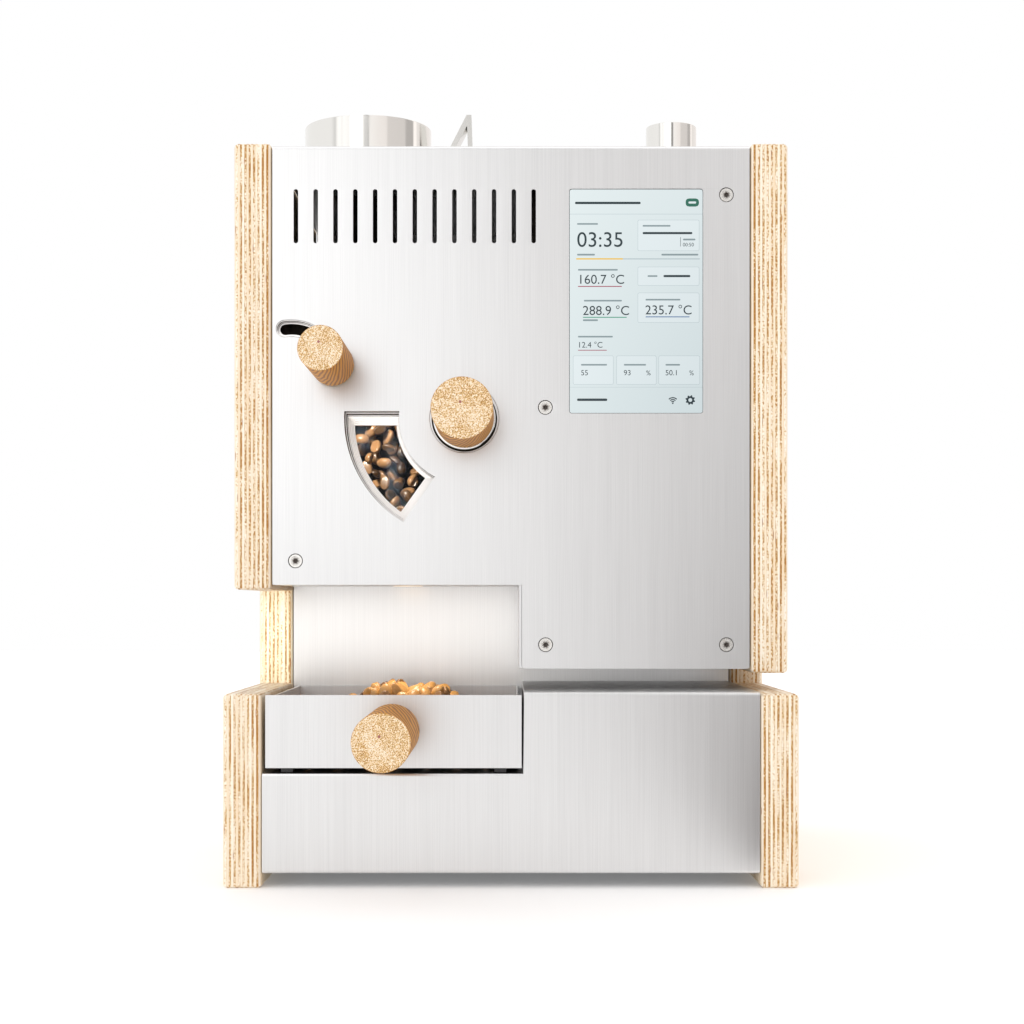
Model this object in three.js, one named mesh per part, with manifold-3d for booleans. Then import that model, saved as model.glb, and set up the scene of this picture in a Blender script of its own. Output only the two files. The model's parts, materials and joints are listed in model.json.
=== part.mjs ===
// Counter-top coffee roaster: two stepped plywood sides carry a folded steel front, a roasting drum
// behind a sight window, a serving bay with a lit ceiling and a pull-out cooling tray.
// Millimetres, +Z up, the front faces -Y, the origin under the middle of the footprint.

import * as THREE from "three";
import Module from "manifold-3d";
import { mergeVertices } from "three/addons/utils/BufferGeometryUtils.js";

// Case and plywood sides, depths measured back from the lower front
const case_width = 380;
const case_height = 503.5;
const case_depth = 340;
const ply_thickness = 25.5;
const ply_corner_radius = 3;
const upper_setback = 49;
const notch_depth_share = 0.5118;
const notch_floor_share = 0.2542;
const left_notch_share = 0.1376;
const right_notch_height = 12;

// Clearances
const seat_gap = 0.3;
const running_gap = 0.6;
const plate_gap = 0.7;
const overrun = 5;

// Sheet metal
const plate_sheet = 2;
const inner_sheet = 1.5;
const plate_inset = 0.8;
const cover_inset = 0.5;
const fold_radius = 2.5;
const plate_top_drop = 1.5;
const front_left_rise = 3.1;
const front_right_rise = 2.8;
const front_step_x = 7.5;
const ceiling_rise = 0.3;
const cover_bottom = 9.5;
const shelf_drop = 52;
const cover_right_rise = 1.4;
const cover_step_x = 8.4;
const cover_flange = 14;
const pan_flange_height = 26;

// Front screws, countersunk with a hexagon socket
const screw_head_radius = 4.7;
const screw_shank_radius = 2.5;
const screw_length = 14;
const screw_head_depth = 2.4;
const hex_radius = 1.8;
const hex_depth = 1.6;
const hex_sides = 6;
const screw_side_margin = 16.6;
const screw_top_margin = 33.8;
const screw_low_rise = 16.6;
const screw_step_margin = 16.3;
const screw_display_margin = 16.2;
const screw_display_rise = 4.3;
const boss_radius = 5.5;

// Air slots in the front plate
const air_slot_count = 13;
const air_slot_width = 3;
const air_slot_height = 37;
const air_slot_side_margin = 16.9;
const air_slot_display_margin = 24.2;
const air_slot_top_margin = 30;

// Display
const display_width = 92.3;
const display_height = 154.5;
const display_margin_share = 0.197;
const display_top_margin = 29.5;
const display_corner = 2;
const glass_inset = 0.3;
const module_margin = 3;
const module_depth = 14;
const board_margin = 5;
const board_sheet = 1.6;
const board_standoff = 3;
const chip_shares = [[0.2, 0.45, 0.2, 0.4], [0.55, 0.85, 0.3, 0.6], [0.2, 0.7, 0.7, 0.85]];
const standoff_radius = 3;

// Drum and its axis
const drum_x_share = -0.1945;
const drum_rise = 18.3;
const drum_end_play = 8.5;
const drum_wall = 1.5;
const drum_end_gap = 3;
const drum_back_wall = 3;
const vane_height = 6;
const vane_thickness = 2;
const vane_count = 4;
const hub_radius = 10;
const hub_length = 6;
const housing_radius_share = 0.5714;
const housing_wall = 2;
const machinery_depth = 92.8;
const drum_tail_gap = 5.7;
const bulkhead_depth = 32.2;
const bulkhead_sheet = 3;
const bulkhead_left_rise = 90;
const bulkhead_right_drop = 18.5;
const bulkhead_step_share = 0.5;
const rear_bulkhead_bottom = 150;
const rear_bulkhead_drop = 63.5;
const shaft_radius = 6;
const shaft_length = 40;
const bearing_radius = 15.7;
const bearing_width = 6;
const pulley_offset = 7;
const pulley_width = 10;
const flange_sheet = 1.5;
const flange_rise = 2.5;
const drum_pulley_radius = 30;
const motor_pulley_radius = 15;
const belt_thickness = 2;
const motor_x_share = 0.608;
const motor_rise = 75;
const motor_radius = 20;
const motor_length = 40;
const motor_shaft_radius = 3.7;
const motor_shaft_reach = 9;

// Sight window: a sector about the drum axis that narrows in steps
const window_outer_share = 0.8777;
const window_inner_share = 0.4787;
const window_rise = 4.8;
const window_end_outer_angle = 239.6;
const window_end_inner_angle = 243.3;
const glass_outer_share = 0.8245;
const glass_inner_share = 0.5138;
const glass_drop = 2.4;
const glass_end_angle = 234.3;
const window_glass_thickness = 4;
const bulkhead_window_share = 0.84;
const frame_step_shares = [0.16, 0.38, 0.62, bulkhead_window_share, 1];
const frame_wall_share = 0.3;
const glass_edge_share = 0.2;

// Trier, the sample scoop on the drum axis
const trier_hole_radius = 24;
const trier_rim_wall = 1.4;
const trier_rim_reach = 1;
const trier_cup_depth = 11;
const trier_tube_wall = 1.7;
const scoop_radius = 12;
const scoop_wall = 1.2;
const scoop_end_gap = 53.2;
const scoop_mouth_start = 33;
const scoop_mouth_end = 7;
const stem_radius = 7;
const stem_grip = 16;
const trier_knob_radius = 20.35;
const trier_knob_length = 62;
const trier_knob_gap = 2;

// Discharge lever
const lever_side_margin = 13.5;
const lever_rise = 32.4;
const lever_rest_angle = 7;
const lever_swing = 90;
const lever_radius = 29.3;
const slot_width = 11.7;
const slot_angles = [5, 98.6];
const rim_wall = 1;
const rim_flange = 1.6;
const rim_thickness = 0.7;
const lever_knob_radius = 14.65;
const lever_knob_length = 80;
const lever_knob_gap = 6;
const lever_stem_radius = 3.2;
const lever_stem_grip = 18;
const lever_pin_radius = 4.2;
const lever_arm_half_width = 5;
const bush_wall = 2;
const bush_collar_wall = 4;

// Link from the lever to the flap, the two cranks stay parallel
const link_clearance = 1.8;
const link_thickness = 2.8;
const arm_clearance = 0.8;
const arm_thickness = 3;
const crank_radius = 5.5;
const crank_eye_radius = 3.2;
const crank_pin_radius = 1.4;
const link_eye_radius = 3.4;
const link_half_width = 2.3;
const open_pivot_gap = 0.5;

// Discharge chute and flap
const flap_x_share = -0.383;
const flap_rise = 9.3;
const flap_length_share = 0.466;
const flap_sheet = 1.5;
const knuckle_radius = 3.2;
const flap_pin_radius = 1.8;
const chute_wall = 1.5;
const chute_mouth_shares = { left: -0.2872, right: 0.0745, bottom: -0.8404, top: -0.6277 };
const chute_right_kick = 3.5;

// Hopper on the top plate
const funnel_x_share = -0.6322;
const funnel_depth = 127.6;
const funnel_radius = 46;
const funnel_height = 30;
const funnel_wall = 1.5;
const funnel_seat = 4.3;
const cone_depth = 18;
const throat_radius = 14;
const throat_wall = 1.4;
const throat_end_shares = { x: -0.4574, z: 0.4468 };
const throat_route_shares = [[0, 0.04, 0.1], [0.3, 0.5, 0.33], [0.62, 0.92, 0.58], [0.85, 0.96, 0.8]];
const gate_sheet = 2;
const gate_width = 42;
const gate_margin = 6;
const gate_travel = 42;
const guide_height = 20;
const guide_wall = 3;
const guide_drop = 9;
const handle_reach = 75.5;
const handle_tip_lean = 1.8;
const handle_foot_run = 21.5;
const handle_height = 39.6;
const handle_fold_drop = 7.9;
const handle_sheet = 3.3;
const handle_width = 20;
const handle_foot_gap = 1;

// Exhaust
const exhaust_x_share = 0.7356;
const exhaust_depth_share = 0.5165;
const exhaust_radius = 19;
const exhaust_height = 45;
const exhaust_wall = 1.5;
const exhaust_angle = 20;

// Hot air
const blower_x_share = 0.6565;
const blower_drop = 117;
const blower_radius_share = 0.2675;
const blower_width_share = 0.1247;
const blower_wall = 1.5;
const outlet_rise = 52;
const outlet_inset = 4;
const inlet_radius = 20;
const impeller_side_gap = 10;
const impeller_blade_length = 11;
const impeller_blades = 12;
const impeller_blade_sheet = 1.2;
const impeller_plate = 2;
const impeller_width = 26;
const impeller_gap = 4;
const impeller_shaft_radius = 3;
const blower_motor_radius = 22;
const blower_motor_length = 40;
const duct_radius = 18;
const duct_wall = 1.5;
const duct_bend = 32;
const element_length = 26;
const element_vane = 3;

// Tray and its knob
const tray_side_gap = 2.6;
const tray_right = 7;
const tray_shelf_gap = 3.2;
const tray_rim_drop = 0.7;
const tray_front_sheet = 2;
const tray_sheet = 1.2;
const tray_side_inset = 2;
const tray_wall_drop = 1.3;
const tray_back_gap = 2.9;
const glide_width = 8;
const glide_margin = 8;
const tray_slot_rows = 3;
const tray_slot_columns = 7;
const tray_slot_width = 3;
const tray_slot_length = 32;
const tray_slot_pitch_x = 20;
const tray_slot_pitch_y = 48;
const tray_knob_offset = -0.95;
const tray_knob_rise = 0.15;
const tray_knob_radius = 18.15;
const tray_knob_length = 102;
const tray_stud_radius = 3;
const tray_stud_length = 16;

// Cooling fan under the shelf
const fan_x = -77.5;
const fan_depth = 86;
const fan_size = 80;
const fan_height = 25;
const fan_bore = 37;
const fan_hub_radius = 14;
const fan_strut = 3;
const fan_spindle_radius = 2.5;
const fan_blades = 7;
const fan_blade_sheet = 1.5;
const fan_blade_pitch = 35;

// Bay lamp
const lamp_x_share = -0.4681;
const lamp_depth_share = 0.8046;
const lamp_radius = 11.7;
const lamp_flange_radius = 16;
const lamp_flange = 2;
const lamp_body_height = 8;

// Power supply, inlet and switch
const supply_width = 125;
const supply_side_gap = 14.5;
const supply_front = 40;
const supply_length = 110;
const supply_height = 42;
const supply_case = 1.2;
const inlet_side_margin = 54.5;
const inlet_z = 62;
const inlet_width = 28;
const inlet_height = 50;
const inlet_body_depth = 26;
const inlet_lip = 5;
const inlet_lip_sheet = 3;
const socket_width = 22;
const socket_height = 16;
const socket_depth = 17;
const socket_drop = 12;
const socket_pin_width = 4;
const socket_pin_sheet = 2;
const socket_pin_pitch = 7;
const rocker_pocket_width = 18;
const rocker_pocket_height = 19;
const rocker_pocket_depth = 16;
const rocker_rise = 12;
const rocker_half_height = 8.2;
const rocker_body_depth = 5;
const rocker_side_rise = 4;
const rocker_crest = 5.6;
const rocker_tilt = 8;

// Rear cover
const rear_inset = 0.5;
const vent_count = 11;
const vent_width = 4;
const vent_height = 58;
const vent_pitch = 20;
const vent_bottoms = [250, 320];

// Facets
const round_sides = 28;
const fine_sides = 14;
const small_sides = 8;
const arc_steps = 9;
const corner_steps = 2;
const corner_reach_share = 0.33;
const bend_steps = 7;
const full_turn = 360;
const right_angle = 90;
const merge_tolerance = 0.0001;

// Stations worked out from the sizes above
const inner_half = case_width / 2 - ply_thickness;
const notch_depth = case_depth * notch_depth_share;
const notch_floor = case_height * notch_floor_share;
const left_notch_height = case_height * left_notch_share;
const front_left_bottom = notch_floor + left_notch_height + front_left_rise;
const front_right_bottom = notch_floor + right_notch_height + front_right_rise;
const shelf_top = notch_floor - shelf_drop;
const cover_right_top = notch_floor + cover_right_rise;
const tray_bottom = shelf_top + tray_shelf_gap;
const tray_top = notch_floor - tray_rim_drop;
const plate_half = inner_half - plate_gap;
const panel_half = inner_half - seat_gap;
const plate_front = upper_setback + plate_inset;
const plate_back = plate_front + plate_sheet;
const plate_top = case_height - plate_top_drop;
const plate_underside = plate_top - plate_sheet;
const rear_outside = case_depth - rear_inset;
const rear_inside = rear_outside - plate_sheet;
const cover_front = cover_inset;
const cover_back = cover_front + plate_sheet;
const link_front = plate_back + link_clearance;
const link_back = link_front + link_thickness;
const arm_front = link_back + arm_clearance;
const arm_back = arm_front + arm_thickness;
const bulkhead_front = plate_back + bulkhead_depth;
const bulkhead_back = bulkhead_front + bulkhead_sheet;
const housing_front = bulkhead_back + seat_gap;
const housing_back = rear_inside - machinery_depth;
const rear_plate_front = housing_back + seat_gap;
const rear_plate_back = rear_plate_front + bulkhead_sheet;
const drum_front = bulkhead_back + drum_end_gap;
const drum_back = housing_back - drum_tail_gap;
const ceiling_bottom = front_left_bottom + ceiling_rise;
const ceiling_top = ceiling_bottom + plate_sheet;
const side_floor_bottom = front_right_bottom + ceiling_rise;
const side_floor_top = side_floor_bottom + plate_sheet;
const pan_bottom = cover_bottom + plate_sheet + seat_gap;
const pan_top = pan_bottom + inner_sheet;
const cover_end = notch_depth - seat_gap;
const knob_face = cover_front - seat_gap - tray_knob_length;

// Places across and up the case, worked out from its width and height
const display_right = inner_half * (1 - display_margin_share);
const display_left = display_right - display_width;
const display_top = plate_top - display_top_margin;
const display_bottom = display_top - display_height;
const air_slots_first_x = air_slot_side_margin - inner_half;
const air_slots_last_x = display_left - air_slot_display_margin;
const air_slots_bottom = plate_top - air_slot_top_margin - air_slot_height;
const screw_low_z = front_right_bottom + screw_low_rise;
const screw_places = {
  front_screw_1: { x: inner_half - screw_side_margin, z: plate_top - screw_top_margin },
  front_screw_2: { x: display_left - screw_display_margin, z: display_bottom + screw_display_rise },
  front_screw_3: { x: screw_side_margin - inner_half, z: front_left_bottom + screw_low_rise },
  front_screw_4: { x: front_step_x + screw_step_margin, z: screw_low_z },
  front_screw_5: { x: inner_half - screw_side_margin, z: screw_low_z },
};
const housing_radius = inner_half * housing_radius_share;
const drum_radius = housing_radius - drum_end_play;
const drum_x = inner_half * drum_x_share;
const drum_z = ceiling_top + drum_rise + housing_radius;
const motor_x = inner_half * motor_x_share;
const motor_z = drum_z + motor_rise;
const window_outer_radius = housing_radius * window_outer_share;
const window_inner_radius = housing_radius * window_inner_share;
const glass_outer_radius = housing_radius * glass_outer_share;
const glass_inner_radius = housing_radius * glass_inner_share;
const lever_x = lever_side_margin - inner_half;
const lever_z = drum_z + lever_rise;
const flap_x = drum_x + housing_radius * flap_x_share;
const flap_z = ceiling_top + flap_rise;
const flap_length = housing_radius * flap_length_share;
const chute_mouth_left = drum_x + housing_radius * chute_mouth_shares.left;
const chute_mouth_right = drum_x + housing_radius * chute_mouth_shares.right;
const chute_mouth_bottom = drum_z + housing_radius * chute_mouth_shares.bottom;
const chute_mouth_top = drum_z + housing_radius * chute_mouth_shares.top;
const funnel_x = inner_half * funnel_x_share;
const throat_end_x = drum_x + housing_radius * throat_end_shares.x;
const throat_end_z = drum_z + housing_radius * throat_end_shares.z;
const handle_x = funnel_x + handle_reach;
const handle_tip_x = handle_x - handle_tip_lean;
const handle_foot_x = handle_x - handle_foot_run;
const exhaust_x = inner_half * exhaust_x_share;
const exhaust_depth = case_depth * exhaust_depth_share;
const blower_x = inner_half * blower_x_share;
const blower_z = drum_z - blower_drop;
const blower_radius = inner_half * blower_radius_share;
const impeller_radius = blower_radius - impeller_side_gap;
const impeller_inner_radius = impeller_radius - impeller_blade_length;
const tray_left = tray_side_gap - inner_half;
const tray_knob_x = (tray_left + tray_right) / 2 + tray_knob_offset;
const tray_knob_z = (tray_bottom + tray_top) / 2 + tray_knob_rise;
const lamp_depth = notch_depth * lamp_depth_share;
const blower_width = case_depth * blower_width_share;
const lamp_x = drum_x + housing_radius * lamp_x_share;
const supply_right = inner_half - supply_side_gap;
const supply_left = supply_right - supply_width;
const inlet_x = inner_half - inlet_side_margin;
const bulkhead_left_top = drum_z + bulkhead_left_rise;
const bulkhead_right_top = case_height - bulkhead_right_drop;
const bulkhead_step_x = drum_x + housing_radius * bulkhead_step_share;
const rear_bulkhead_top = case_height - rear_bulkhead_drop;

const wasm = await Module();
wasm.setup();

function radians(degrees) {
  return THREE.MathUtils.degToRad(degrees);
}

function polar(cx, cz, radius, degrees) {
  return [cx + radius * Math.cos(radians(degrees)), cz + radius * Math.sin(radians(degrees))];
}

function arc(cx, cz, radius, from_degrees, to_degrees, steps) {
  const points = [];
  for (let i = 0; i <= steps; i += 1) {
    points.push(polar(cx, cz, radius, from_degrees + ((to_degrees - from_degrees) * i) / steps));
  }
  return points;
}

function circle(cx, cz, radius, sides) {
  return arc(cx, cz, radius, 0, full_turn, sides).slice(0, -1);
}

function rectangle(left, right, bottom, top) {
  return [[left, bottom], [right, bottom], [right, top], [left, top]];
}

// Replaces each corner of an outline with a round of the radius given for it
function rounded(points, radii) {
  const count = points.length;
  const outline = [];
  for (let i = 0; i < count; i += 1) {
    const radius = Array.isArray(radii) ? radii[i] : radii;
    const here = new THREE.Vector2(...points[i]);
    const before = new THREE.Vector2(...points[(i + count - 1) % count]).sub(here);
    const after = new THREE.Vector2(...points[(i + 1) % count]).sub(here);
    const reach = Math.min(radius, before.length() * corner_reach_share,
      after.length() * corner_reach_share);
    if (reach <= 0) {
      outline.push(points[i]);
      continue;
    }
    const start = here.clone().add(before.normalize().multiplyScalar(reach));
    const end = here.clone().add(after.normalize().multiplyScalar(reach));
    const bend = new THREE.QuadraticBezierCurve(start, here, end);
    for (const point of bend.getPoints(corner_steps)) {
      outline.push([point.x, point.y]);
    }
  }
  return outline;
}

function upright_slot(cx, bottom, width, height) {
  const radius = width / 2;
  return [
    ...arc(cx, bottom + radius, radius, -2 * right_angle, 0, corner_steps + 1),
    ...arc(cx, bottom + height - radius, radius, 0, 2 * right_angle, corner_steps + 1),
  ];
}

function curved_slot(cx, cz, middle_radius, width, from_degrees, to_degrees, ends = corner_steps) {
  const half = width / 2;
  const [start_x, start_z] = polar(cx, cz, middle_radius, from_degrees);
  const [end_x, end_z] = polar(cx, cz, middle_radius, to_degrees);
  const steps = ends * 2;
  return [
    ...arc(cx, cz, middle_radius + half, from_degrees, to_degrees, arc_steps),
    ...arc(end_x, end_z, half, to_degrees, to_degrees + 2 * right_angle, steps).slice(1, -1),
    ...arc(cx, cz, middle_radius - half, to_degrees, from_degrees, arc_steps),
    ...arc(start_x, start_z, half, from_degrees + 2 * right_angle, from_degrees + full_turn,
      steps).slice(1, -1),
  ];
}

// Closed three.js geometry to a solid that can be cut and joined
function solid_of(geometry) {
  const bare = geometry.clone();
  bare.deleteAttribute("normal");
  bare.deleteAttribute("uv");
  const merged = mergeVertices(bare, merge_tolerance);
  const corners = merged.index.array;
  const kept = [];
  for (let i = 0; i < corners.length; i += 3) {
    const [a, b, c] = [corners[i], corners[i + 1], corners[i + 2]];
    if (a !== b && b !== c && c !== a) {
      kept.push(a, b, c);
    }
  }
  const mesh = new wasm.Mesh({
    numProp: 3,
    vertProperties: new Float32Array(merged.attributes.position.array),
    triVerts: new Uint32Array(kept),
  });
  return new wasm.Manifold(mesh);
}

function geometry_of(solid) {
  const mesh = solid.getMesh();
  const geometry = new THREE.BufferGeometry();
  geometry.setAttribute("position", new THREE.BufferAttribute(new Float32Array(mesh.vertProperties),
    3));
  geometry.setIndex(new THREE.BufferAttribute(new Uint32Array(mesh.triVerts), 1));
  geometry.computeVertexNormals();
  return geometry;
}

function join(first, ...others) {
  return others.reduce((whole, other) => whole.add(other), first);
}

function cut(first, ...tools) {
  return tools.reduce((whole, tool) => whole.subtract(tool), first);
}

function block(x0, x1, y0, y1, z0, z1) {
  const geometry = new THREE.BoxGeometry(x1 - x0, y1 - y0, z1 - z0);
  geometry.translate((x0 + x1) / 2, (y0 + y1) / 2, (z0 + z1) / 2);
  return solid_of(geometry);
}

function extruded(outline, length, holes) {
  const shape = new THREE.Shape(outline.map((point) => new THREE.Vector2(...point)));
  for (const hole of holes) {
    shape.holes.push(new THREE.Path(hole.map((point) => new THREE.Vector2(...point))));
  }
  return new THREE.ExtrudeGeometry(shape, { depth: length, bevelEnabled: false, steps: 1 });
}

// Outline in X and Z, thickness along Y
function plate_y(outline, y0, y1, holes = []) {
  const geometry = extruded(outline, y1 - y0, holes);
  geometry.rotateX(Math.PI / 2);
  geometry.translate(0, y1, 0);
  return solid_of(geometry);
}

// Outline in Y and Z, thickness along X
function plate_x(outline, x0, x1, holes = []) {
  const geometry = extruded(outline, x1 - x0, holes);
  const along_y = new THREE.Vector3(0, 1, 0);
  const along_z = new THREE.Vector3(0, 0, 1);
  const along_x = new THREE.Vector3(1, 0, 0);
  geometry.applyMatrix4(new THREE.Matrix4().makeBasis(along_y, along_z, along_x));
  geometry.translate(x0, 0, 0);
  return solid_of(geometry);
}

function lathe(profile, sides) {
  return new THREE.LatheGeometry(profile.map((point) => new THREE.Vector2(...point)), sides);
}

// Profile of radius and Y about an axis along Y
function turned_y(profile, x, z, sides = round_sides) {
  const geometry = lathe(profile, sides);
  geometry.translate(x, 0, z);
  return solid_of(geometry);
}

// Profile of radius and Z about an axis along Z
function turned_z(profile, x, y, sides = round_sides) {
  const geometry = lathe(profile, sides);
  geometry.rotateX(Math.PI / 2);
  geometry.translate(x, y, 0);
  return solid_of(geometry);
}

function rod_y(radius, x, z, y0, y1, sides = round_sides) {
  return turned_y([[0, y0], [radius, y0], [radius, y1], [0, y1]], x, z, sides);
}

function rod_z(radius, x, y, z0, z1, sides = round_sides) {
  return turned_z([[0, z0], [radius, z0], [radius, z1], [0, z1]], x, y, sides);
}

function ring_y(inner, outer, x, z, y0, y1, sides = round_sides) {
  return turned_y([[inner, y0], [outer, y0], [outer, y1], [inner, y1], [inner, y0]], x, z, sides);
}

function tube_along(curve, outer, wall, sides, steps) {
  const shape = new THREE.Shape(circle(0, 0, outer, sides).map((point) => new THREE.Vector2(...point)));
  const bore = circle(0, 0, outer - wall, sides).map((point) => new THREE.Vector2(...point));
  shape.holes.push(new THREE.Path(bore));
  return solid_of(new THREE.ExtrudeGeometry(shape, { steps, bevelEnabled: false, extrudePath: curve }));
}

// Straight runs joined by one bend, all in a plane of constant Y
function bent_path(start, corner, end, y, bend) {
  const from = new THREE.Vector3(start[0], y, start[1]);
  const knee = new THREE.Vector3(corner[0], y, corner[1]);
  const to = new THREE.Vector3(end[0], y, end[1]);
  const before = knee.clone().add(from.clone().sub(knee).setLength(bend));
  const after = knee.clone().add(to.clone().sub(knee).setLength(bend));
  const path = new THREE.CurvePath();
  path.add(new THREE.LineCurve3(from, before));
  path.add(new THREE.QuadraticBezierCurve3(before, knee, after));
  path.add(new THREE.LineCurve3(after, to));
  return path;
}

function finish(color, roughness, metalness) {
  return { color, roughness, metalness };
}

const birch_ply = finish(0xecd6b4, 0.6, 0);
const brushed_steel = finish(0xd9d6d3, 0.35, 0.9);
const polished_steel = finish(0xe4e2de, 0.15, 1);
const zinc_steel = finish(0xb4b6b8, 0.5, 0.8);
const oak = finish(0xd9ab66, 0.55, 0);
const clear_glass = finish(0xcfd8dc, 0.05, 0);
const screen_glass = finish(0xcfe0e2, 0.2, 0);
const black_plastic = finish(0x232323, 0.5, 0);
const dark_steel = finish(0x55514d, 0.5, 0.9);
const cast_aluminium = finish(0xa6a9ab, 0.45, 0.8);
const circuit_green = finish(0x1e5c3a, 0.5, 0);
const lamp_white = finish(0xfff1d6, 0.4, 0);
const ceramic = finish(0xe7ded0, 0.8, 0);
const belt_rubber = finish(0x1c1c1c, 0.8, 0);

const roaster = new THREE.Group();
roaster.position.y = -(case_depth + knob_face) / 2;

function add_piece(name, solid, look, parent = roaster) {
  const mesh = new THREE.Mesh(geometry_of(solid), new THREE.MeshStandardMaterial(look));
  mesh.name = name;
  parent.add(mesh);
}

// Plywood sides
function side_outline(notch_height) {
  const notch_top = notch_floor + notch_height;
  return rounded(
    [
      [0, 0],
      [case_depth, 0],
      [case_depth, case_height],
      [upper_setback, case_height],
      [upper_setback, notch_top],
      [notch_depth, notch_top],
      [notch_depth, notch_floor],
      [0, notch_floor],
    ],
    [ply_corner_radius, ply_corner_radius, ply_corner_radius, ply_corner_radius, ply_corner_radius,
      0, 0,
      ply_corner_radius],
  );
}

function build_sides() {
  const half = case_width / 2;
  add_piece("side_panel_left", plate_x(side_outline(left_notch_height), -half, -inner_half), birch_ply);
  add_piece("side_panel_right", plate_x(side_outline(right_notch_height), inner_half, half), birch_ply);
}

// The sight window's outline, from the plate's opening at step 0 to the glass opening at step 1
function window_outline(step) {
  const mix = (from, to) => from + (to - from) * step;
  const outer = mix(window_outer_radius, glass_outer_radius);
  const inner = mix(window_inner_radius, glass_inner_radius);
  const top = mix(window_rise, -glass_drop);
  const outer_end = mix(window_end_outer_angle, glass_end_angle);
  const inner_end = mix(window_end_inner_angle, glass_end_angle);
  const half_turn = 2 * right_angle;
  const outer_start = half_turn - THREE.MathUtils.radToDeg(Math.asin(top / outer));
  const inner_start = half_turn - THREE.MathUtils.radToDeg(Math.asin(top / inner));
  return [
    ...arc(drum_x, drum_z, outer, outer_start, outer_end, arc_steps),
    ...arc(drum_x, drum_z, inner, inner_end, inner_start, arc_steps),
  ];
}

// The front plate and its folded top in one sheet, an outline in Y and Z
function front_and_top() {
  const back = rear_inside - seat_gap;
  const inner_fold = fold_radius - plate_sheet;
  return rounded(
    [
      [plate_front, front_right_bottom],
      [plate_back, front_right_bottom],
      [plate_back, plate_underside],
      [back, plate_underside],
      [back, plate_top],
      [plate_front, plate_top],
    ],
    [0, 0, inner_fold, 0, 0, fold_radius],
  );
}

function build_front_plate() {
  const front = plate_front - overrun;
  const back = plate_back + overrun;
  const top_low = plate_underside - overrun;
  const top_high = plate_top + overrun;
  let plate = plate_x(front_and_top(), -plate_half, plate_half);
  plate = cut(
    plate,
    block(-case_width, front_step_x, front, back, 0, front_left_bottom),
    plate_y(window_outline(0), front, back),
    rod_y(trier_hole_radius, drum_x, drum_z, front, back),
    plate_y(curved_slot(lever_x, lever_z, lever_radius, slot_width, ...slot_angles), front, back),
    plate_y(
      rounded(rectangle(display_left, display_right, display_bottom, display_top), display_corner),
      front,
      back,
    ),
    rod_z(funnel_radius - funnel_seat + seat_gap, funnel_x, funnel_depth, top_low, top_high),
    rod_z(exhaust_radius + seat_gap, exhaust_x, exhaust_depth, top_low, top_high),
    block(
      handle_x - handle_sheet / 2 - running_gap,
      handle_x + handle_sheet / 2 + running_gap + gate_travel,
      funnel_depth - handle_width / 2 - running_gap,
      funnel_depth + handle_width / 2 + running_gap,
      top_low,
      top_high,
    ),
  );
  for (const { x, z } of Object.values(screw_places)) {
    plate = cut(plate, countersink(x, z, seat_gap));
  }
  const air_slot_pitch = (air_slots_last_x - air_slots_first_x) / (air_slot_count - 1);
  for (let i = 0; i < air_slot_count; i += 1) {
    const middle = air_slots_first_x + i * air_slot_pitch;
    plate = cut(plate, plate_y(upright_slot(middle, air_slots_bottom, air_slot_width,
      air_slot_height), front, back));
  }
  add_piece("front_plate", plate, brushed_steel);
}

// A countersunk screw's outer shape, grown by a gap on all sides
function countersink(x, z, gap) {
  const face = gap > 0 ? plate_front - overrun : plate_front;
  const head = screw_head_radius + gap;
  const shank = screw_shank_radius + gap;
  const profile = [
    [0, face],
    [head, face],
    [head, plate_front + gap],
    [shank, plate_front + screw_head_depth + gap],
    [shank, plate_front + screw_length + gap],
    [0, plate_front + screw_length + gap],
  ];
  const shape = gap > 0 ? profile : profile.filter((point, index) => index !== 2);
  return turned_y(shape, x, z, fine_sides);
}

function build_screws() {
  for (const [name, { x, z }] of Object.entries(screw_places)) {
    const socket = plate_y(circle(x, z, hex_radius, hex_sides), plate_front - overrun,
      plate_front + hex_depth);
    add_piece(name, cut(countersink(x, z, 0), socket), polished_steel);
  }
}

function build_rear_cover() {
  const front = rear_inside - overrun;
  const back = rear_outside + overrun;
  let cover = block(-plate_half, plate_half, rear_inside, rear_outside, cover_bottom, plate_top);
  const first_vent = -(vent_pitch * (vent_count - 1)) / 2;
  for (const bottom of vent_bottoms) {
    for (let i = 0; i < vent_count; i += 1) {
      const vent = upright_slot(first_vent + i * vent_pitch, bottom, vent_width, vent_height);
      cover = cut(cover, plate_y(vent, front, back));
    }
  }
  const hole_half_width = inlet_width / 2 + seat_gap;
  const hole_half_height = inlet_height / 2 + seat_gap;
  cover = cut(
    cover,
    block(
      inlet_x - hole_half_width,
      inlet_x + hole_half_width,
      front,
      back,
      inlet_z - hole_half_height,
      inlet_z + hole_half_height,
    ),
  );
  add_piece("rear_cover", cover, brushed_steel);
}

// Floor of the upper housing: high over the serving bay, low beside it, with the wall between
function build_bay_ceiling() {
  const front = plate_back + seat_gap;
  const wall_left = front_step_x - plate_sheet;
  const outline = [
    [-panel_half, ceiling_bottom],
    [wall_left, ceiling_bottom],
    [wall_left, side_floor_bottom],
    [panel_half, side_floor_bottom],
    [panel_half, side_floor_top],
    [front_step_x, side_floor_top],
    [front_step_x, ceiling_top],
    [-panel_half, ceiling_top],
  ];
  const ceiling = cut(
    plate_y(outline, front, cover_end),
    block(
      flap_x - flap_length - running_gap,
      flap_x + knuckle_radius + running_gap,
      chute_front() + chute_wall,
      bulkhead_front + seat_gap,
      ceiling_bottom - overrun,
      ceiling_top + overrun,
    ),
    rod_z(lamp_radius + seat_gap, lamp_x, lamp_depth, ceiling_bottom - overrun, ceiling_top + overrun),
  );
  add_piece("bay_ceiling", ceiling, brushed_steel);
}

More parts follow.
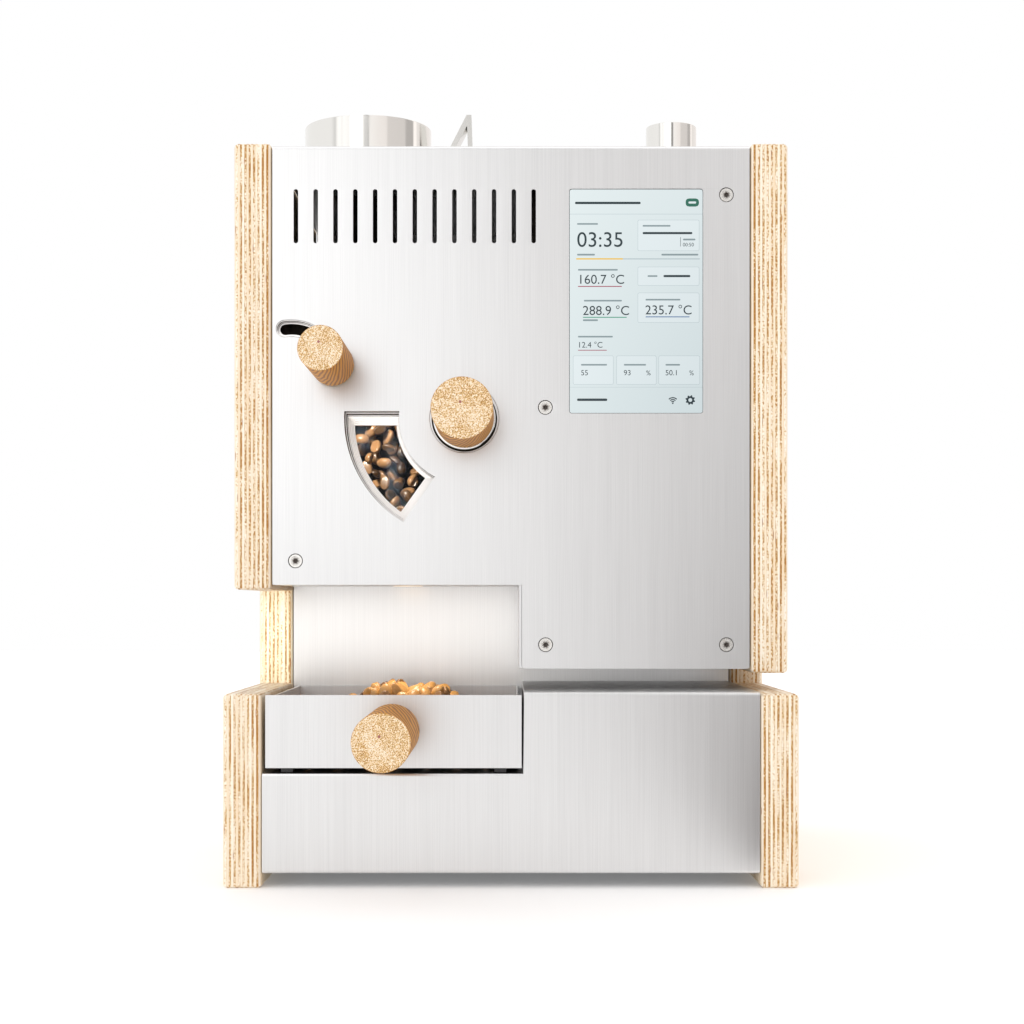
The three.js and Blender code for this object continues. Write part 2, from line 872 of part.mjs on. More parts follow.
function build_bay_back_plate() {
  const narrow = panel_half - inner_sheet - seat_gap;
  const shoulder = pan_bottom + pan_flange_height + seat_gap;
  const outline = [
    [-narrow, pan_top + seat_gap],
    [narrow, pan_top + seat_gap],
    [narrow, shoulder],
    [panel_half, shoulder],
    [panel_half, ceiling_top],
    [-panel_half, ceiling_top],
    [-panel_half, shoulder],
    [-narrow, shoulder],
  ];
  add_piece("bay_back_plate", plate_y(outline, notch_depth, notch_depth + inner_sheet), brushed_steel);
}

// Lower front: tall on the right with a folded top, low on the left with a shelf for the tray
function cover_outline(top, front_fold, depth) {
  return rounded(
    [
      [cover_front, cover_bottom],
      [cover_flange, cover_bottom],
      [cover_flange, cover_bottom + plate_sheet],
      [cover_back, cover_bottom + plate_sheet],
      [cover_back, top - plate_sheet],
      [depth, top - plate_sheet],
      [depth, top],
      [cover_front, top],
    ],
    [fold_radius, 0, 0, 0, 0, 0, 0, front_fold],
  );
}

function build_lower_cover() {
  const left = plate_x(cover_outline(shelf_top, fold_radius, cover_end), -panel_half,
    cover_step_x + plate_sheet);
  const right = plate_x(cover_outline(cover_right_top, fold_radius, cover_end), cover_step_x,
    panel_half);
  const step_wall = block(
    cover_step_x,
    cover_step_x + plate_sheet,
    cover_front + fold_radius,
    cover_end,
    shelf_top - plate_sheet,
    cover_right_top - plate_sheet / 2,
  );
  const cover = cut(
    join(left, right, step_wall),
    rod_z(fan_bore, fan_x, fan_depth, shelf_top - plate_sheet - overrun, shelf_top + overrun),
  );
  add_piece("lower_cover", cover, brushed_steel);
}

function build_base_pan() {
  const front = cover_flange + seat_gap;
  const back = rear_inside - seat_gap;
  const outline = [
    [-panel_half, pan_bottom],
    [panel_half, pan_bottom],
    [panel_half, pan_bottom + pan_flange_height],
    [panel_half - inner_sheet, pan_bottom + pan_flange_height],
    [panel_half - inner_sheet, pan_top],
    [inner_sheet - panel_half, pan_top],
    [inner_sheet - panel_half, pan_bottom + pan_flange_height],
    [-panel_half, pan_bottom + pan_flange_height],
  ];
  add_piece("base_pan", plate_y(outline, front, back), zinc_steel);
}

function build_display() {
  const glass = rectangle(
    display_left + glass_inset,
    display_right - glass_inset,
    display_bottom + glass_inset,
    display_top - glass_inset,
  );
  const module_front = plate_back + seat_gap;
  const module_back = module_front + module_depth;
  const board_front = module_back + seat_gap + board_standoff;
  const board_back = board_front + board_sheet;
  const left = display_left + board_margin;
  const right = display_right - board_margin;
  const bottom = display_bottom + board_margin;
  const top = display_top - board_margin;
  add_piece("display_glass", plate_y(rounded(glass, display_corner), plate_front + glass_inset,
    plate_back),
    screen_glass);
  const housing = block(
    display_left - module_margin,
    display_right + module_margin,
    module_front,
    module_back,
    display_bottom - module_margin,
    display_top + module_margin,
  );
  add_piece("display_module", housing, black_plastic);
  let board = block(left, right, board_front, board_back, bottom, top);
  for (const x of [left + board_margin, right - board_margin]) {
    for (const z of [bottom + board_margin, top - board_margin]) {
      board = join(board, rod_y(standoff_radius, x, z, module_back + seat_gap, board_back,
        small_sides));
    }
  }
  const width = right - left;
  const height = top - bottom;
  for (const [x0, x1, z0, z1] of chip_shares) {
    const chip = block(
      left + width * x0,
      left + width * x1,
      board_front,
      board_back + board_margin,
      bottom + height * z0,
      bottom + height * z1,
    );
    board = join(board, chip);
  }
  add_piece("control_board", board, circuit_green);
}

function build_window() {
  const glass_back = bulkhead_front - seat_gap;
  const glass_front = glass_back - window_glass_thickness;
  const frame_front = plate_back + seat_gap;
  const frame_back = glass_front - seat_gap;
  const step_depth = (frame_back - frame_front) / frame_step_shares.length;
  let frame = plate_y(window_outline(-frame_wall_share), frame_front, frame_back);
  frame_step_shares.forEach((share, index) => {
    const start = index === 0 ? frame_front - overrun : frame_front + step_depth * index;
    frame = cut(frame, plate_y(window_outline(share), start, frame_front + step_depth * (index + 1)));
  });
  const through = plate_y(window_outline(1), frame_back - step_depth, frame_back + overrun);
  add_piece("window_frame", cut(frame, through), brushed_steel);
  add_piece("window_glass", plate_y(window_outline(-glass_edge_share), glass_front, glass_back),
    clear_glass);
}

function chute_front() {
  return arm_back + arm_clearance;
}

function build_front_bulkhead() {
  const outline = [
    [-panel_half, ceiling_top + seat_gap],
    [front_step_x + seat_gap, ceiling_top + seat_gap],
    [front_step_x + seat_gap, side_floor_top + seat_gap],
    [panel_half, side_floor_top + seat_gap],
    [panel_half, bulkhead_right_top],
    [bulkhead_step_x, bulkhead_right_top],
    [bulkhead_step_x, bulkhead_left_top],
    [-panel_half, bulkhead_left_top],
  ];
  let plate = plate_y(outline, bulkhead_front, bulkhead_back);
  for (const { x, z } of Object.values(screw_places)) {
    plate = join(plate, rod_y(boss_radius, x, z, plate_back + seat_gap, bulkhead_back, small_sides));
    plate = cut(plate, countersink(x, z, seat_gap));
  }
  const front = bulkhead_front - overrun;
  const back = bulkhead_back + overrun;
  plate = cut(
    plate,
    plate_y(window_outline(bulkhead_window_share), front, back),
    rod_y(scoop_radius + trier_tube_wall + running_gap + seat_gap, drum_x, drum_z, front, back),
    rod_y(throat_radius, throat_end_x, throat_end_z, front, back, fine_sides),
    plate_y(rectangle(chute_mouth_left, chute_mouth_right, chute_mouth_bottom, chute_mouth_top),
      front, back),
    rod_y(flap_pin_radius + seat_gap, flap_x, flap_z, front, back, small_sides),
    rod_y(lever_pin_radius + seat_gap + bush_wall + seat_gap, lever_x, lever_z, front, back,
      fine_sides),
  );
  add_piece("drum_front_plate", plate, zinc_steel);
}

function build_rear_bulkhead() {
  const front = rear_plate_front - overrun;
  const back = rear_plate_back + overrun;
  const plate = cut(
    block(-panel_half, panel_half, rear_plate_front, rear_plate_back, rear_bulkhead_bottom,
      rear_bulkhead_top),
    rod_y(bearing_radius + seat_gap, drum_x, drum_z, front, back),
    rod_y(motor_shaft_radius + running_gap, motor_x, motor_z, front, back, fine_sides),
    rod_y(impeller_shaft_radius + running_gap, blower_x, blower_z, front, back, fine_sides),
  );
  add_piece("drum_rear_plate", plate, zinc_steel);
}

function bent_duct() {
  const top = blower_z + outlet_rise + seat_gap;
  const duct_x = blower_x + blower_radius - duct_radius - outlet_inset;
  return {
    x: duct_x,
    y: rear_plate_front - seat_gap - blower_width / 2,
    start: [duct_x, top],
    corner: [duct_x, drum_z],
    end: [drum_x + housing_radius + seat_gap, drum_z],
  };
}

function exhaust_route() {
  const end = polar(drum_x, drum_z, housing_radius + seat_gap, exhaust_angle);
  const rise = (exhaust_x - end[0]) * Math.tan(radians(exhaust_angle));
  return { start: [exhaust_x, plate_top + exhaust_height], corner: [exhaust_x, end[1] + rise], end };
}

function build_drum_group() {
  const duct = bent_duct();
  const exhaust = exhaust_route();
  const across = new THREE.LineCurve3(
    new THREE.Vector3(drum_x, duct.y, drum_z),
    new THREE.Vector3(drum_x + housing_radius + overrun, duct.y, drum_z),
  );
  const outward = polar(drum_x, drum_z, housing_radius + overrun, exhaust_angle);
  const slanted = new THREE.LineCurve3(
    new THREE.Vector3(drum_x, exhaust_depth, drum_z),
    new THREE.Vector3(outward[0], exhaust_depth, outward[1]),
  );
  const bore_tool = (curve, radius) => {
    const shape = new THREE.Shape(circle(0, 0, radius,
      fine_sides).map((point) => new THREE.Vector2(...point)));
    return solid_of(new THREE.ExtrudeGeometry(shape, { steps: 1, bevelEnabled: false,
      extrudePath: curve }));
  };
  const housing = cut(
    ring_y(housing_radius - housing_wall, housing_radius, drum_x, drum_z, housing_front, housing_back),
    bore_tool(across, duct_radius - duct_wall),
    bore_tool(slanted, exhaust_radius - exhaust_wall),
  );
  add_piece("drum_housing", housing, dark_steel);

  const inner = drum_radius - drum_wall;
  const wall_front = drum_back - drum_back_wall;
  const bore = shaft_radius + seat_gap;
  let drum = turned_y(
    [
      [bore, wall_front - hub_length],
      [hub_radius, wall_front - hub_length],
      [hub_radius, wall_front],
      [inner, wall_front],
      [inner, drum_front],
      [drum_radius, drum_front],
      [drum_radius, drum_back],
      [bore, drum_back],
      [bore, wall_front - hub_length],
    ],
    drum_x,
    drum_z,
  );
  for (let i = 0; i < vane_count; i += 1) {
    const vane = new THREE.BoxGeometry(vane_height + drum_wall / 2, wall_front - drum_front,
      vane_thickness);
    vane.translate(inner - vane_height / 2 + drum_wall / 4, (wall_front + drum_front) / 2, 0);
    vane.rotateY((i * 2 * Math.PI) / vane_count + Math.PI / vane_count);
    vane.translate(drum_x, 0, drum_z);
    drum = join(drum, solid_of(vane));
  }
  add_piece("drum", drum, dark_steel);

  const shaft_front = wall_front - hub_length;
  const pulley_front = rear_plate_back + pulley_offset;
  add_piece("drum_shaft", rod_y(shaft_radius, drum_x, drum_z, shaft_front,
    shaft_front + shaft_length, fine_sides),
    zinc_steel);
  const bearing_front = (rear_plate_front + rear_plate_back - bearing_width) / 2;
  add_piece("drum_bearing",
    ring_y(bore, bearing_radius, drum_x, drum_z, bearing_front, bearing_front + bearing_width),
      cast_aluminium);
  add_piece("drum_pulley", pulley(drum_pulley_radius, bore, drum_x, drum_z, pulley_front),
    cast_aluminium);

  const motor_back = rear_plate_front - seat_gap;
  const motor_bore = motor_shaft_radius + seat_gap;
  const motor = cut(
    rod_y(motor_radius, motor_x, motor_z, motor_back - motor_length, motor_back, fine_sides),
    rod_y(motor_bore, motor_x, motor_z, motor_back - motor_shaft_reach, motor_back + overrun,
      fine_sides),
  );
  add_piece("drum_motor", motor, zinc_steel);
  const motor_wheel = join(
    pulley(motor_pulley_radius, 0, motor_x, motor_z, pulley_front),
    rod_y(motor_shaft_radius, motor_x, motor_z, motor_back - motor_shaft_reach + seat_gap,
      pulley_front + flange_sheet,
      fine_sides),
  );
  add_piece("motor_pulley", motor_wheel, cast_aluminium);
  build_belt(pulley_front);
}

function pulley(radius, bore, x, z, front) {
  const rim = radius + flange_rise;
  const back = front + pulley_width;
  return turned_y(
    [
      [bore, front],
      [rim, front],
      [rim, front + flange_sheet],
      [radius, front + flange_sheet],
      [radius, back - flange_sheet],
      [rim, back - flange_sheet],
      [rim, back],
      [bore, back],
      ...(bore > 0 ? [[bore, front]] : []),
    ],
    x,
    z,
  );
}

// Open belt round the two pulleys
function belt_outline(grow) {
  const big = drum_pulley_radius + grow;
  const small = motor_pulley_radius + grow;
  const span = Math.hypot(motor_x - drum_x, motor_z - drum_z);
  const heading = THREE.MathUtils.radToDeg(Math.atan2(motor_z - drum_z, motor_x - drum_x));
  const lean = THREE.MathUtils.radToDeg(Math.acos((big - small) / span));
  return [
    ...arc(drum_x, drum_z, big, heading + lean, heading + full_turn - lean, 2 * arc_steps),
    ...arc(motor_x, motor_z, small, heading - lean, heading + lean, arc_steps),
  ];
}

function build_belt(pulley_front) {
  const facet_slack = drum_pulley_radius * (1 - Math.cos(Math.PI / (2 * arc_steps)));
  const inside = seat_gap + facet_slack;
  const belt = plate_y(
    belt_outline(inside + belt_thickness),
    pulley_front + flange_sheet + seat_gap,
    pulley_front + pulley_width - flange_sheet - seat_gap,
    [belt_outline(inside)],
  );
  add_piece("drive_belt", belt, belt_rubber);
}

function build_hot_air() {
  const duct = bent_duct();
  const back = rear_plate_front - seat_gap;
  const front = back - blower_width;
  const top = blower_z + outlet_rise;
  const shell = (shrink, y0, y1, lift) => join(
    rod_y(blower_radius - shrink, blower_x, blower_z, y0, y1),
    block(duct.x - duct_radius + shrink, duct.x + duct_radius - shrink, y0, y1, blower_z, top + lift),
  );
  const housing = cut(
    shell(0, front, back, 0),
    shell(blower_wall, front + blower_wall, back - blower_wall, overrun),
    rod_y(inlet_radius, blower_x, blower_z, front - overrun, front + blower_wall + overrun),
    rod_y(impeller_shaft_radius + running_gap, blower_x, blower_z, back - blower_wall - overrun,
      back + overrun,
      fine_sides),
  );
  add_piece("blower_housing", housing, cast_aluminium);

  const plate_rear = back - blower_wall - impeller_gap;
  const blade_front = plate_rear - impeller_width;
  const motor_front = rear_plate_back + seat_gap;
  let impeller = join(
    rod_y(impeller_radius, blower_x, blower_z, plate_rear - impeller_plate, plate_rear, fine_sides),
    rod_y(impeller_shaft_radius, blower_x, blower_z, blade_front, motor_front + motor_shaft_reach,
      small_sides),
    rod_y(stem_radius, blower_x, blower_z, plate_rear - impeller_width / 2, plate_rear, small_sides),
  );
  for (let i = 0; i < impeller_blades; i += 1) {
    const length = impeller_radius - impeller_inner_radius;
    const blade = new THREE.BoxGeometry(length, impeller_width, impeller_blade_sheet);
    blade.translate((impeller_radius + impeller_inner_radius) / 2 - impeller_blade_sheet,
      plate_rear - impeller_width / 2 - impeller_plate / 2, 0);
    blade.rotateY((i * 2 * Math.PI) / impeller_blades);
    blade.translate(blower_x, 0, blower_z);
    impeller = join(impeller, solid_of(blade));
  }
  add_piece("blower_impeller", impeller, black_plastic);
  const motor = cut(
    rod_y(blower_motor_radius, blower_x, blower_z, motor_front, motor_front + blower_motor_length,
      fine_sides),
    rod_y(impeller_shaft_radius + seat_gap, blower_x, blower_z, motor_front - overrun,
      motor_front + motor_shaft_reach + seat_gap, small_sides),
  );
  add_piece("blower_motor", motor, zinc_steel);

  const duct_path = bent_path(duct.start, duct.corner, duct.end, duct.y, duct_bend);
  add_piece("heater_duct", tube_along(duct_path, duct_radius, duct_wall, fine_sides, bend_steps),
    dark_steel);
  const reach = (duct_radius - duct_wall) * Math.cos(Math.PI / fine_sides) - seat_gap;
  const half_vane = element_vane / 2;
  const element_bottom = duct.start[1] + seat_gap;
  const element = join(
    block(duct.x - reach, duct.x + reach, duct.y - half_vane, duct.y + half_vane, element_bottom,
      element_bottom + element_length),
    block(duct.x - half_vane, duct.x + half_vane, duct.y - reach, duct.y + reach, element_bottom,
      element_bottom + element_length),
  );
  add_piece("heater_element", element, ceramic);

  const exhaust = exhaust_route();
  const exhaust_path = bent_path(exhaust.start, exhaust.corner, exhaust.end, exhaust_depth, duct_bend);
  add_piece("exhaust_pipe",
    tube_along(exhaust_path, exhaust_radius, exhaust_wall, fine_sides, bend_steps), polished_steel);
}

function build_hopper() {
  const seat_z = plate_top + seat_gap;
  const top = plate_top + funnel_height;
  const neck_bottom = plate_underside;
  const cone_rise = neck_bottom + cone_depth;
  const funnel = turned_z(
    [
      [throat_radius, neck_bottom],
      [throat_radius + throat_wall, neck_bottom],
      [funnel_radius - funnel_seat, seat_z],
      [funnel_radius, seat_z],
      [funnel_radius, top],
      [funnel_radius - funnel_wall, top],
      [funnel_radius - funnel_wall, cone_rise],
      [throat_radius, neck_bottom + funnel_wall],
      [throat_radius, neck_bottom],
    ],
    funnel_x,
    funnel_depth,
  );
  add_piece("funnel", funnel, polished_steel);

  const guide_top = plate_underside - seat_gap;
  const guide_bottom = guide_top - guide_height;
  const gate_bottom = guide_top - guide_drop - gate_sheet;
  const gate_top = gate_bottom + gate_sheet;
  const half_guide = gate_width / 2 + guide_wall;
  const guide_left = funnel_x - throat_radius - gate_margin - guide_wall;
  const guide_right = funnel_x + throat_radius + gate_margin + guide_wall;
  const guide = cut(
    block(guide_left, guide_right, funnel_depth - half_guide, funnel_depth + half_guide,
      guide_bottom, guide_top),
    rod_z(throat_radius, funnel_x, funnel_depth, guide_bottom - overrun, guide_top + overrun,
      fine_sides),
    block(
      guide_left + guide_wall - seat_gap,
      guide_right + overrun,
      funnel_depth - gate_width / 2 - seat_gap,
      funnel_depth + gate_width / 2 + seat_gap,
      gate_bottom - seat_gap,
      gate_top + seat_gap,
    ),
  );
  add_piece("gate_guide", guide, cast_aluminium);

  const tip_z = plate_top + handle_height;
  const half = handle_sheet / 2;
  const foot_z = plate_top + handle_foot_gap;
  const slope = Math.atan2(tip_z - foot_z, handle_tip_x - handle_foot_x);
  const lean = half / Math.sin(slope);
  const handle = plate_y(
    [
      [handle_x - half, gate_bottom],
      [handle_x + half, gate_bottom],
      [handle_tip_x + half, tip_z],
      [handle_tip_x - lean, tip_z],
      [handle_foot_x - lean, foot_z],
      [handle_foot_x + lean, foot_z],
      [handle_x - handle_sheet, tip_z - handle_fold_drop],
    ],
    funnel_depth - handle_width / 2,
    funnel_depth + handle_width / 2,
  );
  const gate = join(
    block(
      guide_left + guide_wall,
      handle_x + half,
      funnel_depth - gate_width / 2,
      funnel_depth + gate_width / 2,
      gate_bottom,
      gate_top,
    ),
    handle,
  );
  add_piece("hopper_gate", gate, polished_steel);
  build_throat(guide_bottom - seat_gap);
}

// Bent tube that leads the beans from the gate forward and down to the drum's front
function build_throat(top) {
  const front_room = plate_back + throat_radius + throat_wall + seat_gap;
  const drop = top - throat_end_z;
  const depth_run = funnel_depth - front_room;
  const side_run = throat_end_x - funnel_x;
  const points = [new THREE.Vector3(funnel_x, funnel_depth, top + overrun)];
  for (const [side, forward, down] of throat_route_shares) {
    const place = [funnel_x + side_run * side, funnel_depth - depth_run * forward, top - drop * down];
    points.push(new THREE.Vector3(...place));
  }
  points.push(new THREE.Vector3(throat_end_x, bulkhead_front + overrun, throat_end_z));
  const route = new THREE.CatmullRomCurve3(points);
  const tube = tube_along(route, throat_radius + throat_wall, throat_wall, fine_sides, bend_steps);
  const keep_out = [
    block(-case_width, case_width, bulkhead_front - seat_gap, case_depth, 0,
      bulkhead_left_top + seat_gap),
    block(-case_width, case_width, 0, case_depth, top, case_height),
  ];
  add_piece("hopper_throat", cut(tube, ...keep_out), zinc_steel);
}

// The link's heading, from which the cranks stand square at half swing
function link_heading() {
  return THREE.MathUtils.radToDeg(Math.atan2(flap_z - lever_z, flap_x - lever_x));
}

function crank_angle() {
  return link_heading() - right_angle - lever_swing / 2;
}

function build_lever() {
  const [stem_x, stem_z] = polar(lever_x, lever_z, lever_radius, lever_rest_angle);
  const [crank_x, crank_z] = polar(lever_x, lever_z, crank_radius, crank_angle());
  const knob_back = plate_front - lever_knob_gap;
  const knob_front = knob_back - lever_knob_length;
  const bush_front = arm_back + seat_gap;
  const bush_back = bulkhead_back + seat_gap;
  const half = lever_arm_half_width;
  const tangent = [-Math.sin(radians(lever_rest_angle)) * half,
    Math.cos(radians(lever_rest_angle)) * half];
  const arm = plate_y(
    [
      [lever_x + tangent[0], lever_z + tangent[1]],
      [lever_x - tangent[0], lever_z - tangent[1]],
      [stem_x - tangent[0], stem_z - tangent[1]],
      [stem_x + tangent[0], stem_z + tangent[1]],
    ],
    arm_front,
    arm_back,
  );
  const shaft = join(
    arm,
    rod_y(half, lever_x, lever_z, arm_front, arm_back, fine_sides),
    rod_y(half, stem_x, stem_z, arm_front, arm_back, fine_sides),
    rod_y(lever_pin_radius, lever_x, lever_z, arm_front, bush_back, fine_sides),
    rod_y(crank_eye_radius, crank_x, crank_z, arm_front, arm_back, small_sides),
    rod_y(crank_pin_radius, crank_x, crank_z, link_front, arm_back, small_sides),
    rod_y(lever_stem_radius, stem_x, stem_z, knob_back - lever_stem_grip, arm_back, fine_sides),
  );
  add_piece("lever_shaft", shaft, zinc_steel);
  const bore = lever_stem_radius + seat_gap;
  const grip_end = knob_back - lever_stem_grip - seat_gap;
  add_piece("lever_knob", bored_knob(lever_knob_radius, bore, stem_x, stem_z, knob_front, knob_back,
    grip_end), oak);
  const pin_bore = lever_pin_radius + seat_gap;
  const bush = turned_y(
    [
      [pin_bore, bush_front],
      [pin_bore + bush_collar_wall, bush_front],
      [pin_bore + bush_collar_wall, bulkhead_front - seat_gap],
      [pin_bore + bush_wall, bulkhead_front - seat_gap],
      [pin_bore + bush_wall, bush_back],
      [pin_bore, bush_back],
      [pin_bore, bush_front],
    ],
    lever_x,
    lever_z,
    fine_sides,
  );
  add_piece("lever_bush", bush, cast_aluminium);

  const rim_width = slot_width - 2 * seat_gap;
  const rim = cut(
    join(
      plate_y(curved_slot(lever_x, lever_z, lever_radius, rim_width, ...slot_angles),
        plate_front + rim_thickness,
        plate_back + seat_gap + rim_thickness),
      plate_y(curved_slot(lever_x, lever_z, lever_radius, slot_width + 2 * rim_flange, ...slot_angles),
        plate_back + seat_gap, plate_back + seat_gap + rim_thickness),
    ),
    plate_y(curved_slot(lever_x, lever_z, lever_radius, rim_width - 2 * rim_wall, ...slot_angles),
      plate_front - overrun, plate_back + overrun),
  );
  add_piece("lever_slot_rim", rim, dark_steel);
}

function bored_knob(radius, bore, x, z, front, back, bore_end) {
  return turned_y(
    [[0, front], [radius, front], [radius, back], [bore, back], [bore, bore_end], [0, bore_end]],
    x,
    z,
  );
}

function build_discharge() {
  const angle = crank_angle();
  const [upper_x, upper_z] = polar(lever_x, lever_z, crank_radius, angle);
  const [lower_x, lower_z] = polar(flap_x, flap_z, crank_radius, angle);
  const heading = link_heading() + right_angle;
  const [side_x, side_z] = polar(0, 0, link_half_width, heading);
  const strip = plate_y(
    [
      [upper_x + side_x, upper_z + side_z],
      [lower_x + side_x, lower_z + side_z],
      [lower_x - side_x, lower_z - side_z],
      [upper_x - side_x, upper_z - side_z],
    ],
    link_front,
    link_back,
  );
  const link = cut(
    join(
      strip,
      rod_y(link_eye_radius, upper_x, upper_z, link_front, link_back, fine_sides),
      rod_y(link_eye_radius, lower_x, lower_z, link_front, link_back, fine_sides),
    ),
    rod_y(crank_pin_radius + seat_gap, upper_x, upper_z, link_front - overrun, link_back + overrun,
      small_sides),
    rod_y(crank_pin_radius + open_pivot_gap, lower_x, lower_z, link_front - overrun,
      link_back + overrun,
      small_sides),
  );
  add_piece("discharge_link", link, zinc_steel);

  const front = chute_front();
  const back = bulkhead_front - seat_gap;
  const plate_z1 = flap_z + knuckle_radius - flap_sheet / 2;
  const rim_z = plate_z1 + seat_gap;
  const pin_bore = flap_pin_radius + seat_gap;
  const flap = cut(
    join(
      block(flap_x - flap_length, flap_x, front + chute_wall + running_gap, back - running_gap,
        plate_z1 - flap_sheet,
        plate_z1),
      rod_y(knuckle_radius, flap_x, flap_z, arm_front, back - running_gap, fine_sides),
      rod_y(crank_eye_radius, lower_x, lower_z, arm_front, arm_back, small_sides),
      rod_y(crank_pin_radius, lower_x, lower_z, link_front, arm_back, small_sides),
      plate_y(
        [
          ...arc(lower_x, lower_z, crank_eye_radius, angle - right_angle, angle + right_angle,
            corner_steps),
          ...arc(flap_x, flap_z, crank_eye_radius, angle + right_angle, angle + 3 * right_angle,
            corner_steps),
        ],
        arm_front,
        arm_back,
      ),
    ),
    rod_y(pin_bore, flap_x, flap_z, arm_front - overrun, back + overrun, small_sides),
  );
  add_piece("discharge_flap", flap, zinc_steel);
  add_piece("flap_pin", rod_y(flap_pin_radius, flap_x, flap_z, arm_front, bulkhead_back,
    small_sides), polished_steel);

  const outlet_right = flap_x - knuckle_radius - seat_gap;
  const outlet_left = flap_x - flap_length;
  const wall = chute_wall;
  const inside = [
    [outlet_left + wall, rim_z - overrun],
    [outlet_right - wall, rim_z - overrun],
    [outlet_right - wall, rim_z + chute_right_kick],
    [chute_mouth_right, chute_mouth_bottom - wall],
    [chute_mouth_right, chute_mouth_top],
    [chute_mouth_left, chute_mouth_top],
    [chute_mouth_left, chute_mouth_bottom],
    [outlet_left + wall, rim_z + chute_right_kick],
  ];
  const outside = [
    [outlet_left, rim_z],
    [outlet_right, rim_z],
    [outlet_right, rim_z + chute_right_kick - wall],
    [chute_mouth_right + wall, chute_mouth_bottom - 2 * wall],
    [chute_mouth_right + wall, chute_mouth_top + wall],
    [chute_mouth_left - wall, chute_mouth_top + wall],
    [chute_mouth_left - wall, chute_mouth_bottom + wall],
    [outlet_left, rim_z + chute_right_kick + wall],
  ];
  const chute = cut(plate_y(outside, front, back), plate_y(inside, front + wall, back + overrun));
  add_piece("discharge_chute", chute, zinc_steel);
}

function build_trier() {
  const rim_outer = trier_hole_radius - seat_gap;
  const rim_inner = rim_outer - trier_rim_wall;
  const rim_front = plate_front - trier_rim_reach;
  const cup_floor = rim_front + trier_cup_depth;
  const tube_inner = scoop_radius + running_gap;
  const tube_outer = tube_inner + trier_tube_wall;
  const guide = turned_y(
    [
      [rim_inner, rim_front],
      [rim_outer, rim_front],
      [rim_outer, cup_floor + trier_tube_wall],
      [tube_outer, cup_floor + trier_tube_wall],
      [tube_outer, bulkhead_back],
      [tube_inner, bulkhead_back],
      [tube_inner, cup_floor],
      [rim_inner, cup_floor],
      [rim_inner, rim_front],
    ],
    drum_x,
    drum_z,
  );
  add_piece("trier_guide", guide, polished_steel);
  const collar = ring_y(scoop_radius + seat_gap, rim_inner - running_gap, drum_x, drum_z,
    rim_front + seat_gap,
    cup_floor - seat_gap);
  add_piece("trier_collar", collar, polished_steel);
  const knob_back = rim_front - trier_knob_gap;
  const knob_front = knob_back - trier_knob_length;
  const grip_end = knob_back - stem_grip;
  const scoop_front = rim_front - trier_knob_gap / 2;
  const bowl_back = drum_back - scoop_end_gap;
  const bowl = scoop_front + scoop_mouth_start;
  const mouth_back = bowl_back - scoop_mouth_end;
  const scoop = cut(
    join(
      rod_y(stem_radius, drum_x, drum_z, grip_end, scoop_front + overrun, fine_sides),
      rod_y(scoop_radius, drum_x, drum_z, scoop_front, bowl_back, fine_sides),
    ),
    rod_y(scoop_radius - scoop_wall, drum_x, drum_z, bowl, bowl_back - scoop_wall, fine_sides),
    block(drum_x - scoop_radius - overrun, drum_x + scoop_radius + overrun, bowl,
      mouth_back, drum_z,
      drum_z + scoop_radius + overrun),
  );
  add_piece("trier_scoop", scoop, polished_steel);
  add_piece("trier_knob",
    bored_knob(trier_knob_radius, stem_radius + seat_gap, drum_x, drum_z, knob_front, knob_back,
      grip_end - seat_gap),
    oak);
}

function build_tray() {
  const front = cover_front;
  const sheet_back = front + tray_front_sheet;
  const panel = join(
    block(tray_left, tray_right, front, sheet_back, tray_bottom, tray_top),
    rod_y(tray_stud_radius, tray_knob_x, tray_knob_z, front - tray_stud_length, sheet_back, fine_sides),
  );
  add_piece("tray_front", panel, brushed_steel);
  const body_front = sheet_back + seat_gap;
  const body_back = cover_end - tray_back_gap;
  const left = tray_left + tray_side_inset;
  const right = tray_right - tray_side_inset;
  const wall = tray_sheet;
  let body = cut(
    block(left, right, body_front, body_back, tray_bottom, tray_top - tray_wall_drop),
    block(left + wall, right - wall, body_front + wall, body_back - wall, tray_bottom + wall,
      tray_top + overrun),
  );
  for (const x of [left + glide_margin, right - glide_margin - glide_width]) {
    const glide = block(x, x + glide_width, body_front, body_back, shelf_top + seat_gap,
      tray_bottom + wall / 2);
    body = join(body, glide);
  }
  const middle_x = (left + right) / 2;
  const middle_y = (body_front + body_back) / 2;
  for (let i = 0; i < tray_slot_columns; i += 1) {
    for (let j = 0; j < tray_slot_rows; j += 1) {
      const x = middle_x + (i - (tray_slot_columns - 1) / 2) * tray_slot_pitch_x;
      const y = middle_y + (j - (tray_slot_rows - 1) / 2) * tray_slot_pitch_y;
      body = cut(body, block(x - tray_slot_width / 2, x + tray_slot_width / 2, y - tray_slot_length / 2,
        y + tray_slot_length / 2, tray_bottom - overrun, tray_bottom + overrun));
    }
  }
  add_piece("tray_body", body, brushed_steel);
  const knob_back = front - seat_gap;
  const bore_end = front - tray_stud_length - seat_gap;
  add_piece("tray_knob", bored_knob(tray_knob_radius, tray_stud_radius + seat_gap, tray_knob_x,
    tray_knob_z,
    knob_face, knob_back, bore_end), oak);
}

